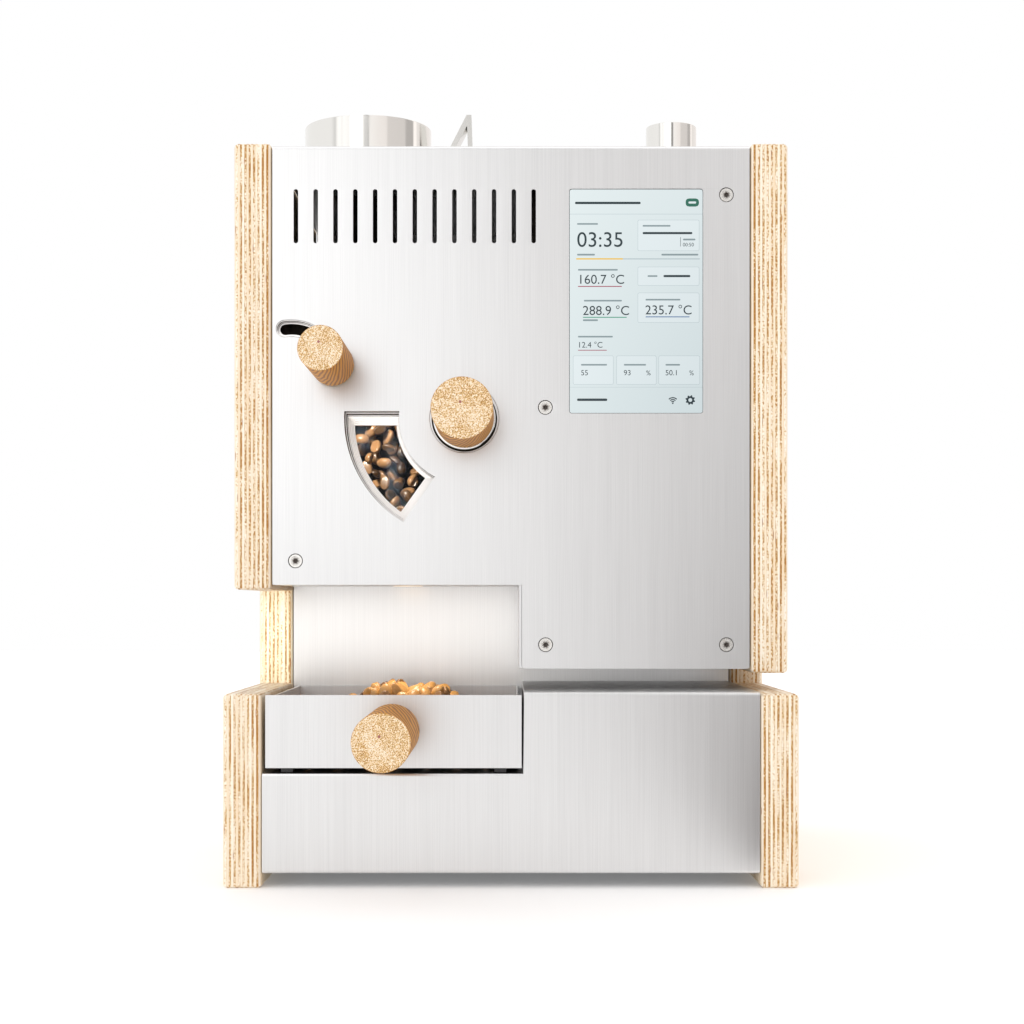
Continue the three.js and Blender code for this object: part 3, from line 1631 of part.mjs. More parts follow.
function build_cooling_fan() {
  const top = shelf_top - plate_sheet - seat_gap;
  const bottom = top - fan_height;
  const half = fan_size / 2;
  const strut_top = bottom + fan_strut;
  let frame = cut(
    block(fan_x - half, fan_x + half, fan_depth - half, fan_depth + half, bottom, top),
    rod_z(fan_bore, fan_x, fan_depth, bottom - overrun, top + overrun),
  );
  const bar = fan_strut / 2;
  frame = join(
    frame,
    block(fan_x - fan_bore - bar, fan_x + fan_bore + bar, fan_depth - bar, fan_depth + bar, bottom,
      strut_top),
    block(fan_x - bar, fan_x + bar, fan_depth - fan_bore - bar, fan_depth + fan_bore + bar, bottom,
      strut_top),
    rod_z(fan_hub_radius, fan_x, fan_depth, bottom, strut_top, fine_sides),
    rod_z(fan_spindle_radius, fan_x, fan_depth, bottom, top - fan_strut, small_sides),
  );
  add_piece("cooling_fan_housing", frame, black_plastic);
  const rotor_bottom = strut_top + running_gap;
  const rotor_top = top - running_gap;
  let rotor = rod_z(fan_hub_radius, fan_x, fan_depth, rotor_bottom, rotor_top, fine_sides);
  const blade_reach = fan_bore - running_gap - fan_strut;
  const blade_length = blade_reach - fan_hub_radius / 2;
  const blade_width = (rotor_top - rotor_bottom) * Math.cos(radians(fan_blade_pitch)) - fan_blade_sheet;
  for (let i = 0; i < fan_blades; i += 1) {
    const blade = new THREE.BoxGeometry(blade_length, fan_blade_sheet, blade_width);
    blade.rotateX(radians(fan_blade_pitch));
    blade.translate(fan_hub_radius / 2 + blade_length / 2, 0, 0);
    blade.rotateZ((i * 2 * Math.PI) / fan_blades);
    blade.translate(fan_x, fan_depth, (rotor_bottom + rotor_top) / 2);
    rotor = join(rotor, solid_of(blade));
  }
  rotor = cut(rotor, rod_z(fan_spindle_radius + seat_gap, fan_x, fan_depth, rotor_bottom - overrun,
    top, small_sides));
  add_piece("cooling_fan_rotor", rotor, black_plastic);
}

function build_lamp() {
  const flange_bottom = ceiling_top + seat_gap;
  const lamp = turned_z(
    [
      [0, ceiling_bottom],
      [lamp_radius, ceiling_bottom],
      [lamp_radius, flange_bottom],
      [lamp_flange_radius, flange_bottom],
      [lamp_flange_radius, flange_bottom + lamp_flange],
      [lamp_radius, flange_bottom + lamp_flange],
      [lamp_radius, flange_bottom + lamp_body_height],
      [0, flange_bottom + lamp_body_height],
    ],
    lamp_x,
    lamp_depth,
    fine_sides,
  );
  add_piece("bay_lamp", lamp, lamp_white);
}

function build_power() {
  const supply_base = pan_top + seat_gap;
  const supply_back = supply_front + supply_length;
  const supply_top = supply_base + supply_height;
  const supply = cut(
    block(supply_left, supply_right, supply_front, supply_back, supply_base, supply_top),
    block(supply_left + supply_case, supply_right - supply_case, supply_front + supply_case,
      supply_back + overrun, supply_base + supply_case, supply_top - supply_case),
  );
  add_piece("power_supply", supply, zinc_steel);

  const half_width = inlet_width / 2;
  const half_height = inlet_height / 2;
  const lip_back = rear_inside - seat_gap;
  const body_front = rear_outside - inlet_body_depth;
  const socket_z = inlet_z - socket_drop;
  const rocker_z = inlet_z + rocker_rise;
  let inlet = join(
    block(inlet_x - half_width, inlet_x + half_width, body_front, rear_outside, inlet_z - half_height,
      inlet_z + half_height),
    block(inlet_x - half_width - inlet_lip, inlet_x + half_width + inlet_lip,
      lip_back - inlet_lip_sheet, lip_back,
      inlet_z - half_height - inlet_lip, inlet_z + half_height + inlet_lip),
  );
  inlet = cut(
    inlet,
    block(inlet_x - socket_width / 2, inlet_x + socket_width / 2, rear_outside - socket_depth,
      rear_outside + overrun,
      socket_z - socket_height / 2, socket_z + socket_height / 2),
    block(inlet_x - rocker_pocket_width / 2, inlet_x + rocker_pocket_width / 2,
      rear_outside - rocker_pocket_depth,
      rear_outside + overrun, rocker_z - rocker_pocket_height / 2, rocker_z + rocker_pocket_height / 2),
  );
  for (const side of [-1, 0, 1]) {
    const x = inlet_x + side * socket_pin_pitch;
    const pin = block(x - socket_pin_sheet / 2, x + socket_pin_sheet / 2,
      rear_outside - socket_depth - socket_pin_sheet,
      rear_outside - socket_pin_width, socket_z - socket_pin_width / 2,
        socket_z + socket_pin_width / 2);
    inlet = join(inlet, pin);
  }
  add_piece("power_inlet", inlet, black_plastic);

  const rocker = plate_x(
    [
      [-rocker_body_depth, -rocker_half_height],
      [rocker_side_rise, -rocker_half_height],
      [rocker_crest, 0],
      [rocker_side_rise, rocker_half_height],
      [-rocker_body_depth, rocker_half_height],
    ],
    seat_gap - rocker_pocket_width / 2,
    rocker_pocket_width / 2 - seat_gap,
  );
  const holder = new THREE.Group();
  holder.position.set(inlet_x, rear_outside - rocker_crest, rocker_z);
  holder.rotation.x = radians(rocker_tilt);
  roaster.add(holder);
  add_piece("power_switch", rocker, black_plastic, holder);
}

build_sides();
build_front_plate();
build_screws();
build_rear_cover();
build_bay_ceiling();
build_bay_back_plate();
build_lower_cover();
build_base_pan();
build_display();
build_window();
build_front_bulkhead();
build_rear_bulkhead();
build_drum_group();
build_hot_air();
build_hopper();
build_lever();
build_discharge();
build_trier();
build_tray();
build_cooling_fan();
build_lamp();
build_power();

export default roaster;
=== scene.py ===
"""Counter-top coffee roaster: its looks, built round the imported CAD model.

Sizes in the classes are millimetres and meshes are metres. +Z is up and the front faces -Y.
"""

import json
import logging
import math
from collections.abc import Callable, Iterable, Sequence
from dataclasses import dataclass
from enum import Enum
from typing import Any

import bmesh
import bpy
from mathutils import Matrix, Vector


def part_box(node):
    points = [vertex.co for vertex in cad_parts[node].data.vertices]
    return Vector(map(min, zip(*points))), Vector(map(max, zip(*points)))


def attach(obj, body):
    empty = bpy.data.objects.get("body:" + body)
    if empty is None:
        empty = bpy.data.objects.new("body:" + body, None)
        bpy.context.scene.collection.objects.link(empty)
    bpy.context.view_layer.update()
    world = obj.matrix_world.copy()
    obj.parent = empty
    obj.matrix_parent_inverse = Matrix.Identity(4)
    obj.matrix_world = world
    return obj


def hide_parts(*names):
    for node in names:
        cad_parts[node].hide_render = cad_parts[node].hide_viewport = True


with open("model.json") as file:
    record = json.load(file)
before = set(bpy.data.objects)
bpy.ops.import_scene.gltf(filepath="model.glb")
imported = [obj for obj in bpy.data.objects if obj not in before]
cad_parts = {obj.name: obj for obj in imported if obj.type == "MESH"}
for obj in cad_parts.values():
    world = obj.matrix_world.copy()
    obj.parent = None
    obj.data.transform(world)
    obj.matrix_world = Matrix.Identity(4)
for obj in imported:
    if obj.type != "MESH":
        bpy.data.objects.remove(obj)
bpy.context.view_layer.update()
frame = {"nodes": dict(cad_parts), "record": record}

MM = 0.001
WELD_MM = 0.01
FLAT_DEGREES = 0.5
SHARP_DEGREES = 32.0
ROUND_SEGMENTS = 96
FINE_SEGMENTS = 48
SCREW_NODES = [f"front_screw_{n}" for n in range(1, 6)]
PIPE_REACH = 18.52  # from the exhaust pipe's middle to the right side of its CAD box
MIX_FACTOR, MIX_A, MIX_B, MIX_RESULT = 0, 6, 7, 2
ORIGIN = (0.0, 0.0, 0.0)

Point = tuple[float, float]
Triple = tuple[float, float, float]
Outline = list[Point]
Colour = tuple[float, float, float, float]
Inputs = dict[Any, Any]
Stops = Sequence[tuple[float, Any]]
Mesh = bpy.types.Mesh
WorkMesh = bmesh.types.BMesh
Material = bpy.types.Material
Socket = bpy.types.NodeSocket

log = logging.getLogger("roaster")


def linear(code: str) -> Colour:
    """Turn an sRGB hex colour into linear light.

    Args:
        code: Six hex digits.

    Returns:
        Red, green, blue and an alpha of 1.
    """
    shares = [int(code[i : i + 2], 16) / 255 for i in (0, 2, 4)]
    red, green, blue = (s / 12.92 if s <= 0.04045 else ((s + 0.055) / 1.055) ** 2.4 for s in shares)
    return red, green, blue, 1.0


def per_metre(mm: float) -> float:
    """Give how often a pattern of this size repeats in a metre."""
    return 1 / (mm * MM)


def connect(tree: bpy.types.NodeTree, socket: Socket, value: Any) -> None:
    """Set a node's socket or link it.

    Args:
        tree: The node's tree.
        socket: The input.
        value: What it is set to, or the socket or the node that feeds it.
    """
    if isinstance(value, bpy.types.Node):
        value = value.outputs[0]
    if isinstance(value, Socket):
        tree.links.new(value, socket)
    else:
        socket.default_value = value


def add_node(
    tree: bpy.types.NodeTree,
    kind: str,
    inputs: Inputs | None = None,
    stops: Stops = (),
    **settings: Any,
) -> bpy.types.Node:
    """Add a node with its settings and links.

    Args:
        tree: The shader or geometry tree.
        kind: The node's type name.
        inputs: Socket name or number to a value, or to the socket or node that feeds it.
        stops: Places and colours of a ramp, as hex codes or grey levels.
        **settings: Attributes of the node.

    Returns:
        The node.
    """
    node = tree.nodes.new(kind)
    for name, value in settings.items():
        setattr(node, name, value)
    for key, value in (inputs or {}).items():
        connect(tree, node.inputs[key], value)
    if stops:
        elements = node.color_ramp.elements
        while len(elements) > 1:
            elements.remove(elements[-1])
        for index, (place, level) in enumerate(stops):
            stop = elements[0] if index == 0 else elements.new(place)
            stop.position = place
            stop.color = linear(level) if isinstance(level, str) else (level, level, level, 1.0)
    return node


class Recipe:
    """A new material with one Principled shader, and the means to add nodes to it."""

    def __init__(self, name: str) -> None:
        """Start the material.

        Args:
            name: The material's name.
        """
        self.material = bpy.data.materials.new(name)
        self.material.use_nodes = True
        self.tree = self.material.node_tree
        self.tree.nodes.clear()
        self.shader = self.add("BsdfPrincipled")
        self.output = self.add("OutputMaterial", {"Surface": self.shader})

    def add(
        self, kind: str, inputs: Inputs | None = None, stops: Stops = (), **settings: Any
    ) -> bpy.types.Node:
        """Add a shader node to this material, as add_node does."""
        return add_node(self.tree, "ShaderNode" + kind, inputs, stops, **settings)

    def place(self, scale: Sequence[float], centre: Sequence[float] = ORIGIN) -> Socket:
        """Give the object's own coordinates, centred and scaled.

        Args:
            scale: Pattern repeats per metre along X, Y and Z.
            centre: The point in metres that becomes the pattern's zero.

        Returns:
            The vector socket.
        """
        own = self.add("TexCoord").outputs["Object"]
        shift = self.add("Mapping", {"Vector": own, "Location": [-c for c in centre]})
        return self.add("Mapping", {"Vector": shift, "Scale": tuple(scale)}).outputs[0]

    def pattern(
        self, scale: Sequence[float], centre: Sequence[float] = ORIGIN, **more: Any
    ) -> Inputs:
        """Give the inputs of a pattern in the object's own coordinates.

        Args:
            scale: Pattern repeats per metre along X, Y and Z.
            centre: The point in metres that becomes the pattern's zero.
            **more: Its other inputs.

        Returns:
            The inputs.
        """
        return {"Vector": self.place(scale, centre), "Scale": 1.0, **more}

    def feed(self, **sockets: Any) -> Material:
        """Set or link the shader's sockets.

        Args:
            **sockets: Socket names with underscores for spaces, to what connect takes.

        Returns:
            The finished material.
        """
        for name, value in sockets.items():
            connect(self.tree, self.shader.inputs[name.replace("_", " ")], value)
        return self.material


@dataclass(frozen=True)
class BrushedSteel:
    """Stainless steel sheet, belt-brushed: long fine scratches that spread highlights."""

    name: str = "brushed_stainless_steel"
    bright: str = "E1E1E1"
    dark: str = "D9D9D9"
    roughness: float = 0.3
    scratch_mm: float = 0.5  # real scratches are about 0.05 mm, drawn coarser so that they show
    band_mm: float = 7.0
    length_mm: float = 75.0

    def material(self) -> Material:
        """Build the material.

        Returns:
            The material.
        """
        recipe = Recipe(self.name)
        long = per_metre(self.length_mm)
        fine = recipe.add(
            "TexNoise", recipe.pattern((per_metre(self.scratch_mm), long, long), Detail=3.0)
        )
        broad = recipe.add(
            "TexNoise", recipe.pattern((per_metre(self.band_mm), long / 5, long / 5), Detail=2.0)
        )
        streak = recipe.add(
            "Math",
            {0: broad.outputs["Fac"], 1: 0.35, 2: fine.outputs["Fac"]},
            operation="MULTIPLY_ADD",
        )
        tone = recipe.add("MapRange", {"Value": streak, "From Min": 0.45, "From Max": 0.9})
        colour = recipe.add(
            "Mix",
            {MIX_FACTOR: tone, MIX_A: linear(self.dark), MIX_B: linear(self.bright)},
            data_type="RGBA",
        )
        rough = recipe.add(
            "MapRange",
            {
                "Value": streak,
                "From Min": 0.4,
                "From Max": 0.95,
                "To Min": self.roughness - 0.02,
                "To Max": self.roughness + 0.02,
            },
        )
        bump = recipe.add(
            "Bump", {"Height": fine.outputs["Fac"], "Strength": 0.12, "Distance": 0.00004}
        )
        return recipe.feed(
            Base_Color=colour.outputs[MIX_RESULT], Metallic=1.0, Roughness=rough, Normal=bump
        )


@dataclass(frozen=True)
class LaserCutSteel:
    """Stacked stainless sheets: pale faces, kept near white as painted light for the dim steps; cut
    edges near the front carry brown laser scale, darkened further as painted shade of the gaps
    between the sheets.
    """

    name: str = "laser_cut_steel"
    # Painted light: the faces are kept near white because the deep steps get little light
    face: str = "F7F4F1"
    # Front cut edges: brown laser scale, darkened further as painted shade of the gaps between the
    # sheets
    edge: str = "33221A"
    # Painted light: the deeper cut edges are kept pale for the same dim steps
    brightened_clean_edge: str = "F4F0EC"
    scale_and_shade_until_mm: float = -54.2

    def material(self) -> Material:
        """Build the material.

        Returns:
            The material.
        """
        recipe = Recipe(self.name)
        own = recipe.add("TexCoord")
        axes = recipe.add("SeparateXYZ", {0: own.outputs["Object"]})
        facing = recipe.add("SeparateXYZ", {0: own.outputs["Normal"]})
        ahead = recipe.add("Math", {0: facing.outputs["Y"]}, operation="ABSOLUTE")
        flat = recipe.add("Math", {0: ahead, 1: 0.6}, operation="GREATER_THAN")
        deep = recipe.add(
            "Math", {0: axes.outputs["Y"], 1: self.scale_and_shade_until_mm * MM}, operation="GREATER_THAN"
        )
        streaks = recipe.add("TexNoise", recipe.pattern((500.0, 40.0, 500.0), Detail=2.0))
        # Painted shade: the front walls turn dark brown so that the gaps between the sheets show as
        # dark lines
        scale_and_shade = recipe.add(
            "ValToRGB", {"Fac": streaks.outputs["Fac"]}, [(0.5, self.edge), (0.9, "7A6456")]
        )
        # Front walls take the scale and painted shade, and deeper walls take the brightened edge
        # colour as painted light
        edge = recipe.add(
            "Mix",
            {MIX_FACTOR: deep, MIX_A: scale_and_shade, MIX_B: linear(self.brightened_clean_edge)},
            data_type="RGBA",
        )
        colour = recipe.add(
            "Mix",
            {MIX_FACTOR: flat, MIX_A: edge.outputs[MIX_RESULT], MIX_B: linear(self.face)},
            data_type="RGBA",
        )
        clean = recipe.add("Math", {0: flat, 1: deep}, operation="MAXIMUM")
        rough = recipe.add("MapRange", {"Value": clean, "To Min": 0.85, "To Max": 0.33})
        gloss = recipe.add("MapRange", {"Value": clean, "To Min": 0.1, "To Max": 0.5})
        return recipe.feed(
            Base_Color=colour.outputs[MIX_RESULT],
            Metallic=clean,
            Roughness=rough,
            Specular_IOR_Level=gloss,
        )


@dataclass(frozen=True)
class PolishedSteel:
    """Stainless steel, wheel-polished: near-mirror reflections with faint haze and wipe marks."""

    name: str = "polished_stainless_steel"
    base: str = "E2E0DC"
    roughness: float = 0.09
    mark_mm: float = 9.0

    def material(self) -> Material:
        """Build the material.

        Returns:
            The material.
        """
        recipe = Recipe(self.name)
        pitch = per_metre(self.mark_mm)
        marks = recipe.add("TexNoise", recipe.pattern((pitch, pitch, pitch / 3), Detail=4.0))
        rough = recipe.add(
            "MapRange",
            {
                "Value": marks.outputs["Fac"],
                "From Min": 0.35,
                "From Max": 0.7,
                "To Min": self.roughness - 0.03,
                "To Max": self.roughness + 0.06,
            },
        )
        return recipe.feed(Base_Color=linear(self.base), Metallic=1.0, Roughness=rough)


@dataclass(frozen=True)
class SocketedSteel:
    """Stainless screw heads, cold-formed and tumbled: a soft shine round a socket painted dark as
    shade.
    """

    name: str = "tumbled_screw_steel"
    base: str = "E4E2DE"
    # Painted shade inside the hexagon socket: darker and without metal shine
    socket_shade: str = "4A3F37"
    mark_mm: float = 0.8

    def material(self) -> Material:
        """Build the material.

        Returns:
            The material.
        """
        recipe = Recipe(self.name)
        pitch = per_metre(self.mark_mm)
        within = recipe.add("Attribute", attribute_name="socket")
        marks = recipe.add("TexNoise", recipe.pattern((pitch,) * 3))
        # Points marked as in the socket take the painted shade colour and lose their metal shine
        colour = recipe.add(
            "Mix",
            {MIX_FACTOR: within.outputs["Fac"], MIX_A: linear(self.base), MIX_B: linear(self.socket_shade)},
            data_type="RGBA",
        )
        bare = recipe.add("Math", {0: 1.0, 1: within.outputs["Fac"]}, operation="SUBTRACT")
        rough = recipe.add(
            "MapRange", {"Value": marks.outputs["Fac"], "To Min": 0.2, "To Max": 0.34}
        )
        return recipe.feed(Base_Color=colour.outputs[MIX_RESULT], Metallic=bare, Roughness=rough)


@dataclass(frozen=True)
class GrainedMetal:
    """A plain metal with the grain of its making: zinc spangle, heat scale or a cast skin."""

    name: str
    light: str
    dark: str
    roughness: float
    grain_mm: float
    depth_mm: float = 0.02
    metallic: float = 1.0

    def material(self) -> Material:
        """Build the material.

        Returns:
            The material.
        """
        recipe = Recipe(self.name)
        pitch = per_metre(self.grain_mm)
        cells = recipe.add("TexVoronoi", recipe.pattern((pitch,) * 3))
        noise = recipe.add("TexNoise", recipe.pattern((pitch * 2,) * 3, Detail=4.0))
        share = recipe.add(
            "Math", {0: cells.outputs["Distance"], 1: noise.outputs["Fac"]}, operation="MULTIPLY"
        )
        colour = recipe.add("ValToRGB", {"Fac": share}, [(0.05, self.dark), (0.5, self.light)])
        bump = recipe.add(
            "Bump",
            {"Height": noise.outputs["Fac"], "Strength": 0.3, "Distance": self.depth_mm * MM},
        )
        return recipe.feed(
            Base_Color=colour, Metallic=self.metallic, Roughness=self.roughness, Normal=bump
        )


@dataclass(frozen=True)
class BirchPly:
    """Birch plywood, sawn, sanded and oiled: smooth cream layers between stippled ones."""

    name: str = "oiled_birch_plywood"
    half_width_mm: float = 190.0
    layer_mm: float = 25.5 / 17
    cream: str = "F7E9D2"
    pale: str = "FCF4E6"
    tan: str = "DAB066"
    brown: str = "AC7422"
    knot: str = "9A5618"
    glue: str = "C29A68"
    pore_mm: float = 0.65  # birch pores are about 0.1 mm, drawn coarser so that they show
    fibre_mm: float = 0.25

    def material(self) -> Material:
        """Build the material.

        Returns:
            The material.
        """
        recipe = Recipe(self.name)
        own = recipe.add("TexCoord")
        axes = recipe.add("SeparateXYZ", {0: own.outputs["Object"]})
        facing = recipe.add("SeparateXYZ", {0: own.outputs["Normal"]})
        wave = recipe.add("TexNoise", recipe.pattern((60.0, 14.0, 14.0), Detail=3.0))
        side = recipe.add("Math", {0: axes.outputs["X"]}, operation="ABSOLUTE")
        inward = recipe.add("Math", {0: self.half_width_mm * MM, 1: side}, operation="SUBTRACT")
        layers = recipe.add("Math", {0: inward, 1: per_metre(self.layer_mm)}, operation="MULTIPLY")
        sway = recipe.add(
            "Math", {0: wave.outputs["Fac"], 1: 0.5, 2: layers}, operation="MULTIPLY_ADD"
        )
        count = recipe.add("Math", {0: sway}, operation="FLOOR")
        within = recipe.add("Math", {0: sway}, operation="FRACT")
        seed = recipe.add("TexWhiteNoise", {"W": count}, noise_dimensions="1D")
        upright = recipe.add("Math", {0: facing.outputs["Z"]}, operation="ABSOLUTE")
        lying = recipe.add("Math", {0: upright, 1: 0.7}, operation="GREATER_THAN")
        turn = recipe.add("Math", {0: count, 1: lying}, operation="ADD")
        odd = recipe.add("Math", {0: turn, 1: 2.0}, operation="FLOORED_MODULO")
        # End-grain layers: open pores as dark dots, fewer in some stretches than in others
        pore = (per_metre(self.pore_mm), *(0.6 / (self.pore_mm * MM),) * 2)
        pores = recipe.add("TexNoise", recipe.pattern(pore, Detail=2.0, Roughness=0.6))
        patches = recipe.add(
            "TexNoise", recipe.pattern((1 / (2 * self.layer_mm * MM), 40.0, 40.0), Detail=2.0)
        )
        density = recipe.add(
            "Math",
            {0: patches.outputs["Fac"], 1: 0.6, 2: pores.outputs["Fac"]},
            operation="MULTIPLY_ADD",
        )
        shift = recipe.add(
            "Math", {0: seed.outputs["Value"], 1: 0.2, 2: density}, operation="MULTIPLY_ADD"
        )
        end_grain = recipe.add(
            "ValToRGB",
            {"Fac": shift},
            [(0.72, self.pale), (0.84, self.cream), (0.93, self.tan), (1.0, self.brown)],
        )
        # Long-grain layers: pale with faint threads along the fibre
        threads = recipe.add(
            "TexNoise", recipe.pattern((per_metre(self.fibre_mm), 26.0, 26.0), Detail=3.0)
        )
        thread = recipe.add(
            "Math",
            {0: seed.outputs["Value"], 1: 0.2, 2: threads.outputs["Fac"]},
            operation="MULTIPLY_ADD",
        )
        long_grain = recipe.add(
            "ValToRGB", {"Fac": thread}, [(0.4, self.pale), (0.62, self.cream), (0.85, "F0D5AE")]
        )
        wood = recipe.add(
            "Mix", {MIX_FACTOR: odd, MIX_A: long_grain, MIX_B: end_grain}, data_type="RGBA"
        )
        # Glue lines are about 0.1 mm, drawn at 0.2 mm
        edge = recipe.add("Math", {0: within, 1: 0.14}, operation="LESS_THAN")
        faint = recipe.add("Math", {0: edge, 1: seed.outputs["Value"]}, operation="MULTIPLY")
        line = recipe.add("Math", {0: faint, 1: 0.55}, operation="MULTIPLY")
        glued = recipe.add(
            "Mix",
            {MIX_FACTOR: line, MIX_A: wood.outputs[MIX_RESULT], MIX_B: linear(self.glue)},
            data_type="RGBA",
        )
        # Small knots and fillers, stretched along the layer
        knots = recipe.add("TexVoronoi", recipe.pattern((per_metre(self.layer_mm), 62.0, 62.0)))
        rare = recipe.add("Math", {0: knots.outputs["Distance"], 1: 0.2}, operation="LESS_THAN")
        few = recipe.add("SeparateColor", {0: knots.outputs["Color"]})
        chosen = recipe.add("Math", {0: few, 1: 0.12}, operation="LESS_THAN")
        spot = recipe.add("Math", {0: rare, 1: chosen}, operation="MULTIPLY")
        dark_spot = recipe.add("Math", {0: spot, 1: 0.75}, operation="MULTIPLY")
        edge_wood = recipe.add(
            "Mix",
            {MIX_FACTOR: dark_spot, MIX_A: glued.outputs[MIX_RESULT], MIX_B: linear(self.knot)},
            data_type="RGBA",
        )
        # The outer veneer, with its grain running up the panel
        figure = recipe.add(
            "TexNoise", recipe.pattern((40.0, 38.0, 2.6), Detail=5.0, Distortion=0.7)
        )
        fine = recipe.add("TexNoise", recipe.pattern((300.0, 900.0, 14.0), Detail=3.0))
        both = recipe.add(
            "Math",
            {0: fine.outputs["Fac"], 1: 0.35, 2: figure.outputs["Fac"]},
            operation="MULTIPLY_ADD",
        )
        veneer = recipe.add(
            "ValToRGB", {"Fac": both}, [(0.5, "F7E6CC"), (0.68, "F1DAB8"), (0.8, "E6C79C")]
        )
        across = recipe.add("Math", {0: facing.outputs["X"]}, operation="ABSOLUTE")
        flat = recipe.add("MapRange", {"Value": across, "From Min": 0.75, "From Max": 0.9})
        whole = recipe.add(
            "Mix",
            {MIX_FACTOR: flat, MIX_A: edge_wood.outputs[MIX_RESULT], MIX_B: veneer},
            data_type="RGBA",
        )
        bump = recipe.add(
            "Bump", {"Height": pores.outputs["Fac"], "Strength": 0.25, "Distance": 0.0001}
        )
        return recipe.feed(
            Base_Color=whole.outputs[MIX_RESULT], Roughness=0.5, IOR=1.5, Normal=bump
        )


@dataclass(frozen=True)
class Oak:
    """Oak, turned and oiled: pale end grain full of open pores, flame lines along the sides."""

    name: str
    x_mm: float
    z_mm: float
    cream: str = "F7E8D2"
    straw: str = "E9CB9A"
    gold: str = "D2A055"
    pore: str = "A07028"
    pith: str = "A0605A"
    pith_x_mm: float = -1.0
    pith_z_mm: float = 3.9
    pore_mm: float = 0.8  # oak pores are about 0.3 mm, drawn coarser so that they show
    flame_mm: float = 1.5

    def material(self) -> Material:
        """Build the material.

        Returns:
            The material.
        """
        recipe = Recipe(self.name)
        centre = (self.x_mm * MM, 0.0, self.z_mm * MM)
        pith_place = ((self.x_mm + self.pith_x_mm) * MM, 0.0, (self.z_mm + self.pith_z_mm) * MM)
        pitch = per_metre(self.pore_mm)
        own = recipe.add("TexCoord")
        facing = recipe.add("SeparateXYZ", {0: own.outputs["Normal"]})
        cells = recipe.add("TexVoronoi", recipe.pattern((pitch, pitch * 0.15, pitch), centre))
        speck = recipe.add(
            "TexNoise", recipe.pattern((pitch * 1.6, pitch * 0.2, pitch * 1.6), centre, Detail=4.0)
        )
        grow = recipe.add("TexNoise", recipe.pattern((90.0, 10.0, 90.0), centre, Detail=2.0))
        holes = recipe.add(
            "Math",
            {0: cells.outputs["Distance"], 1: -0.5, 2: speck.outputs["Fac"]},
            operation="MULTIPLY_ADD",
        )
        ring = recipe.add(
            "Math", {0: grow.outputs["Fac"], 1: 0.3, 2: holes}, operation="MULTIPLY_ADD"
        )
        end_grain = recipe.add(
            "ValToRGB",
            {"Fac": ring},
            [(0.26, self.cream), (0.38, self.straw), (0.47, self.gold), (0.58, self.pore)],
        )
        middle = recipe.add(
            "VectorMath", {0: recipe.place((1.0, 0.0, 1.0), pith_place)}, operation="LENGTH"
        )
        pith = recipe.add("Math", {0: middle.outputs["Value"], 1: 0.0009}, operation="LESS_THAN")
        face = recipe.add(
            "Mix", {MIX_FACTOR: pith, MIX_A: end_grain, MIX_B: linear(self.pith)}, data_type="RGBA"
        )
        flame_pitch = per_metre(self.flame_mm)
        flame = recipe.add(
            "TexWave",
            {
                "Vector": recipe.place((flame_pitch, flame_pitch * 0.2, flame_pitch * 0.5), centre),
                "Scale": 0.3,
                "Distortion": 9.0,
                "Detail": 2.0,
                "Detail Scale": 0.35,
            },
            bands_direction="DIAGONAL",
        )
        sides = recipe.add(
            "ValToRGB",
            {"Fac": flame.outputs["Fac"]},
            [(0.1, "8E520A"), (0.4, "B67214"), (0.8, "D2942C")],
        )
        ahead = recipe.add("Math", {0: facing.outputs["Y"]}, operation="ABSOLUTE")
        front = recipe.add("MapRange", {"Value": ahead, "From Min": 0.45, "From Max": 0.85})
        wood = recipe.add(
            "Mix",
            {MIX_FACTOR: front, MIX_A: sides, MIX_B: face.outputs[MIX_RESULT]},
            data_type="RGBA",
        )
        bump = recipe.add("Bump", {"Height": ring, "Strength": 0.35, "Distance": -0.0002})
        return recipe.feed(
            Base_Color=wood.outputs[MIX_RESULT], Roughness=0.52, IOR=1.5, Normal=bump
        )


@dataclass(frozen=True)
class ClearGlass:
    """Borosilicate float glass: a clear pane that shows only reflections, softened by a film."""

    name: str = "clear_borosilicate_glass"
    gloss: float = 0.02
    coating: str = "53565C"  # the anti-glare coating dims what the pane mirrors

    def material(self) -> Material:
        """Build the material.

        Returns:
            The material.
        """
        recipe = Recipe(self.name)
        fresnel = recipe.add("Fresnel", {"IOR": 1.5})
        film = recipe.add("TexNoise", recipe.pattern((60.0, 60.0, 60.0), Detail=2.0))
        grease = recipe.add(
            "MapRange",
            {"Value": film.outputs["Fac"], "To Min": self.gloss, "To Max": self.gloss * 2},
        )
        clear = recipe.add("BsdfTransparent", {"Color": linear("F4F8FA")})
        shine = recipe.add("BsdfGlossy", {"Color": linear(self.coating), "Roughness": grease})
        both = recipe.add("MixShader", {0: fresnel, 1: clear, 2: shine})
        connect(recipe.tree, recipe.output.inputs["Surface"], both)
        recipe.tree.nodes.remove(recipe.shader)
        return recipe.material


@dataclass(frozen=True)
class MouldedPlastic:
    """ABS or rubber, moulded with a fine spark-eroded texture: dark with a soft, grainy sheen."""

    name: str
    base: str
    roughness: float
    grain_mm: float = 0.6

    def material(self) -> Material:
        """Build the material.

        Returns:
            The material.
        """
        recipe = Recipe(self.name)
        pitch = per_metre(self.grain_mm)
        grain = recipe.add("TexNoise", recipe.pattern((pitch,) * 3, Detail=3.0))
        tone = recipe.add(
            "Mix",
            {MIX_FACTOR: grain.outputs["Fac"], MIX_A: linear(self.base), MIX_B: linear("3A3A3C")},
            data_type="RGBA",
        )
        dim = recipe.add(
            "Mix",
            {MIX_FACTOR: 0.35, MIX_A: linear(self.base), MIX_B: tone.outputs[MIX_RESULT]},
            data_type="RGBA",
        )
        bump = recipe.add(
            "Bump", {"Height": grain.outputs["Fac"], "Strength": 0.2, "Distance": 0.0001}
        )
        return recipe.feed(
            Base_Color=dim.outputs[MIX_RESULT], Roughness=self.roughness, IOR=1.5, Normal=bump
        )


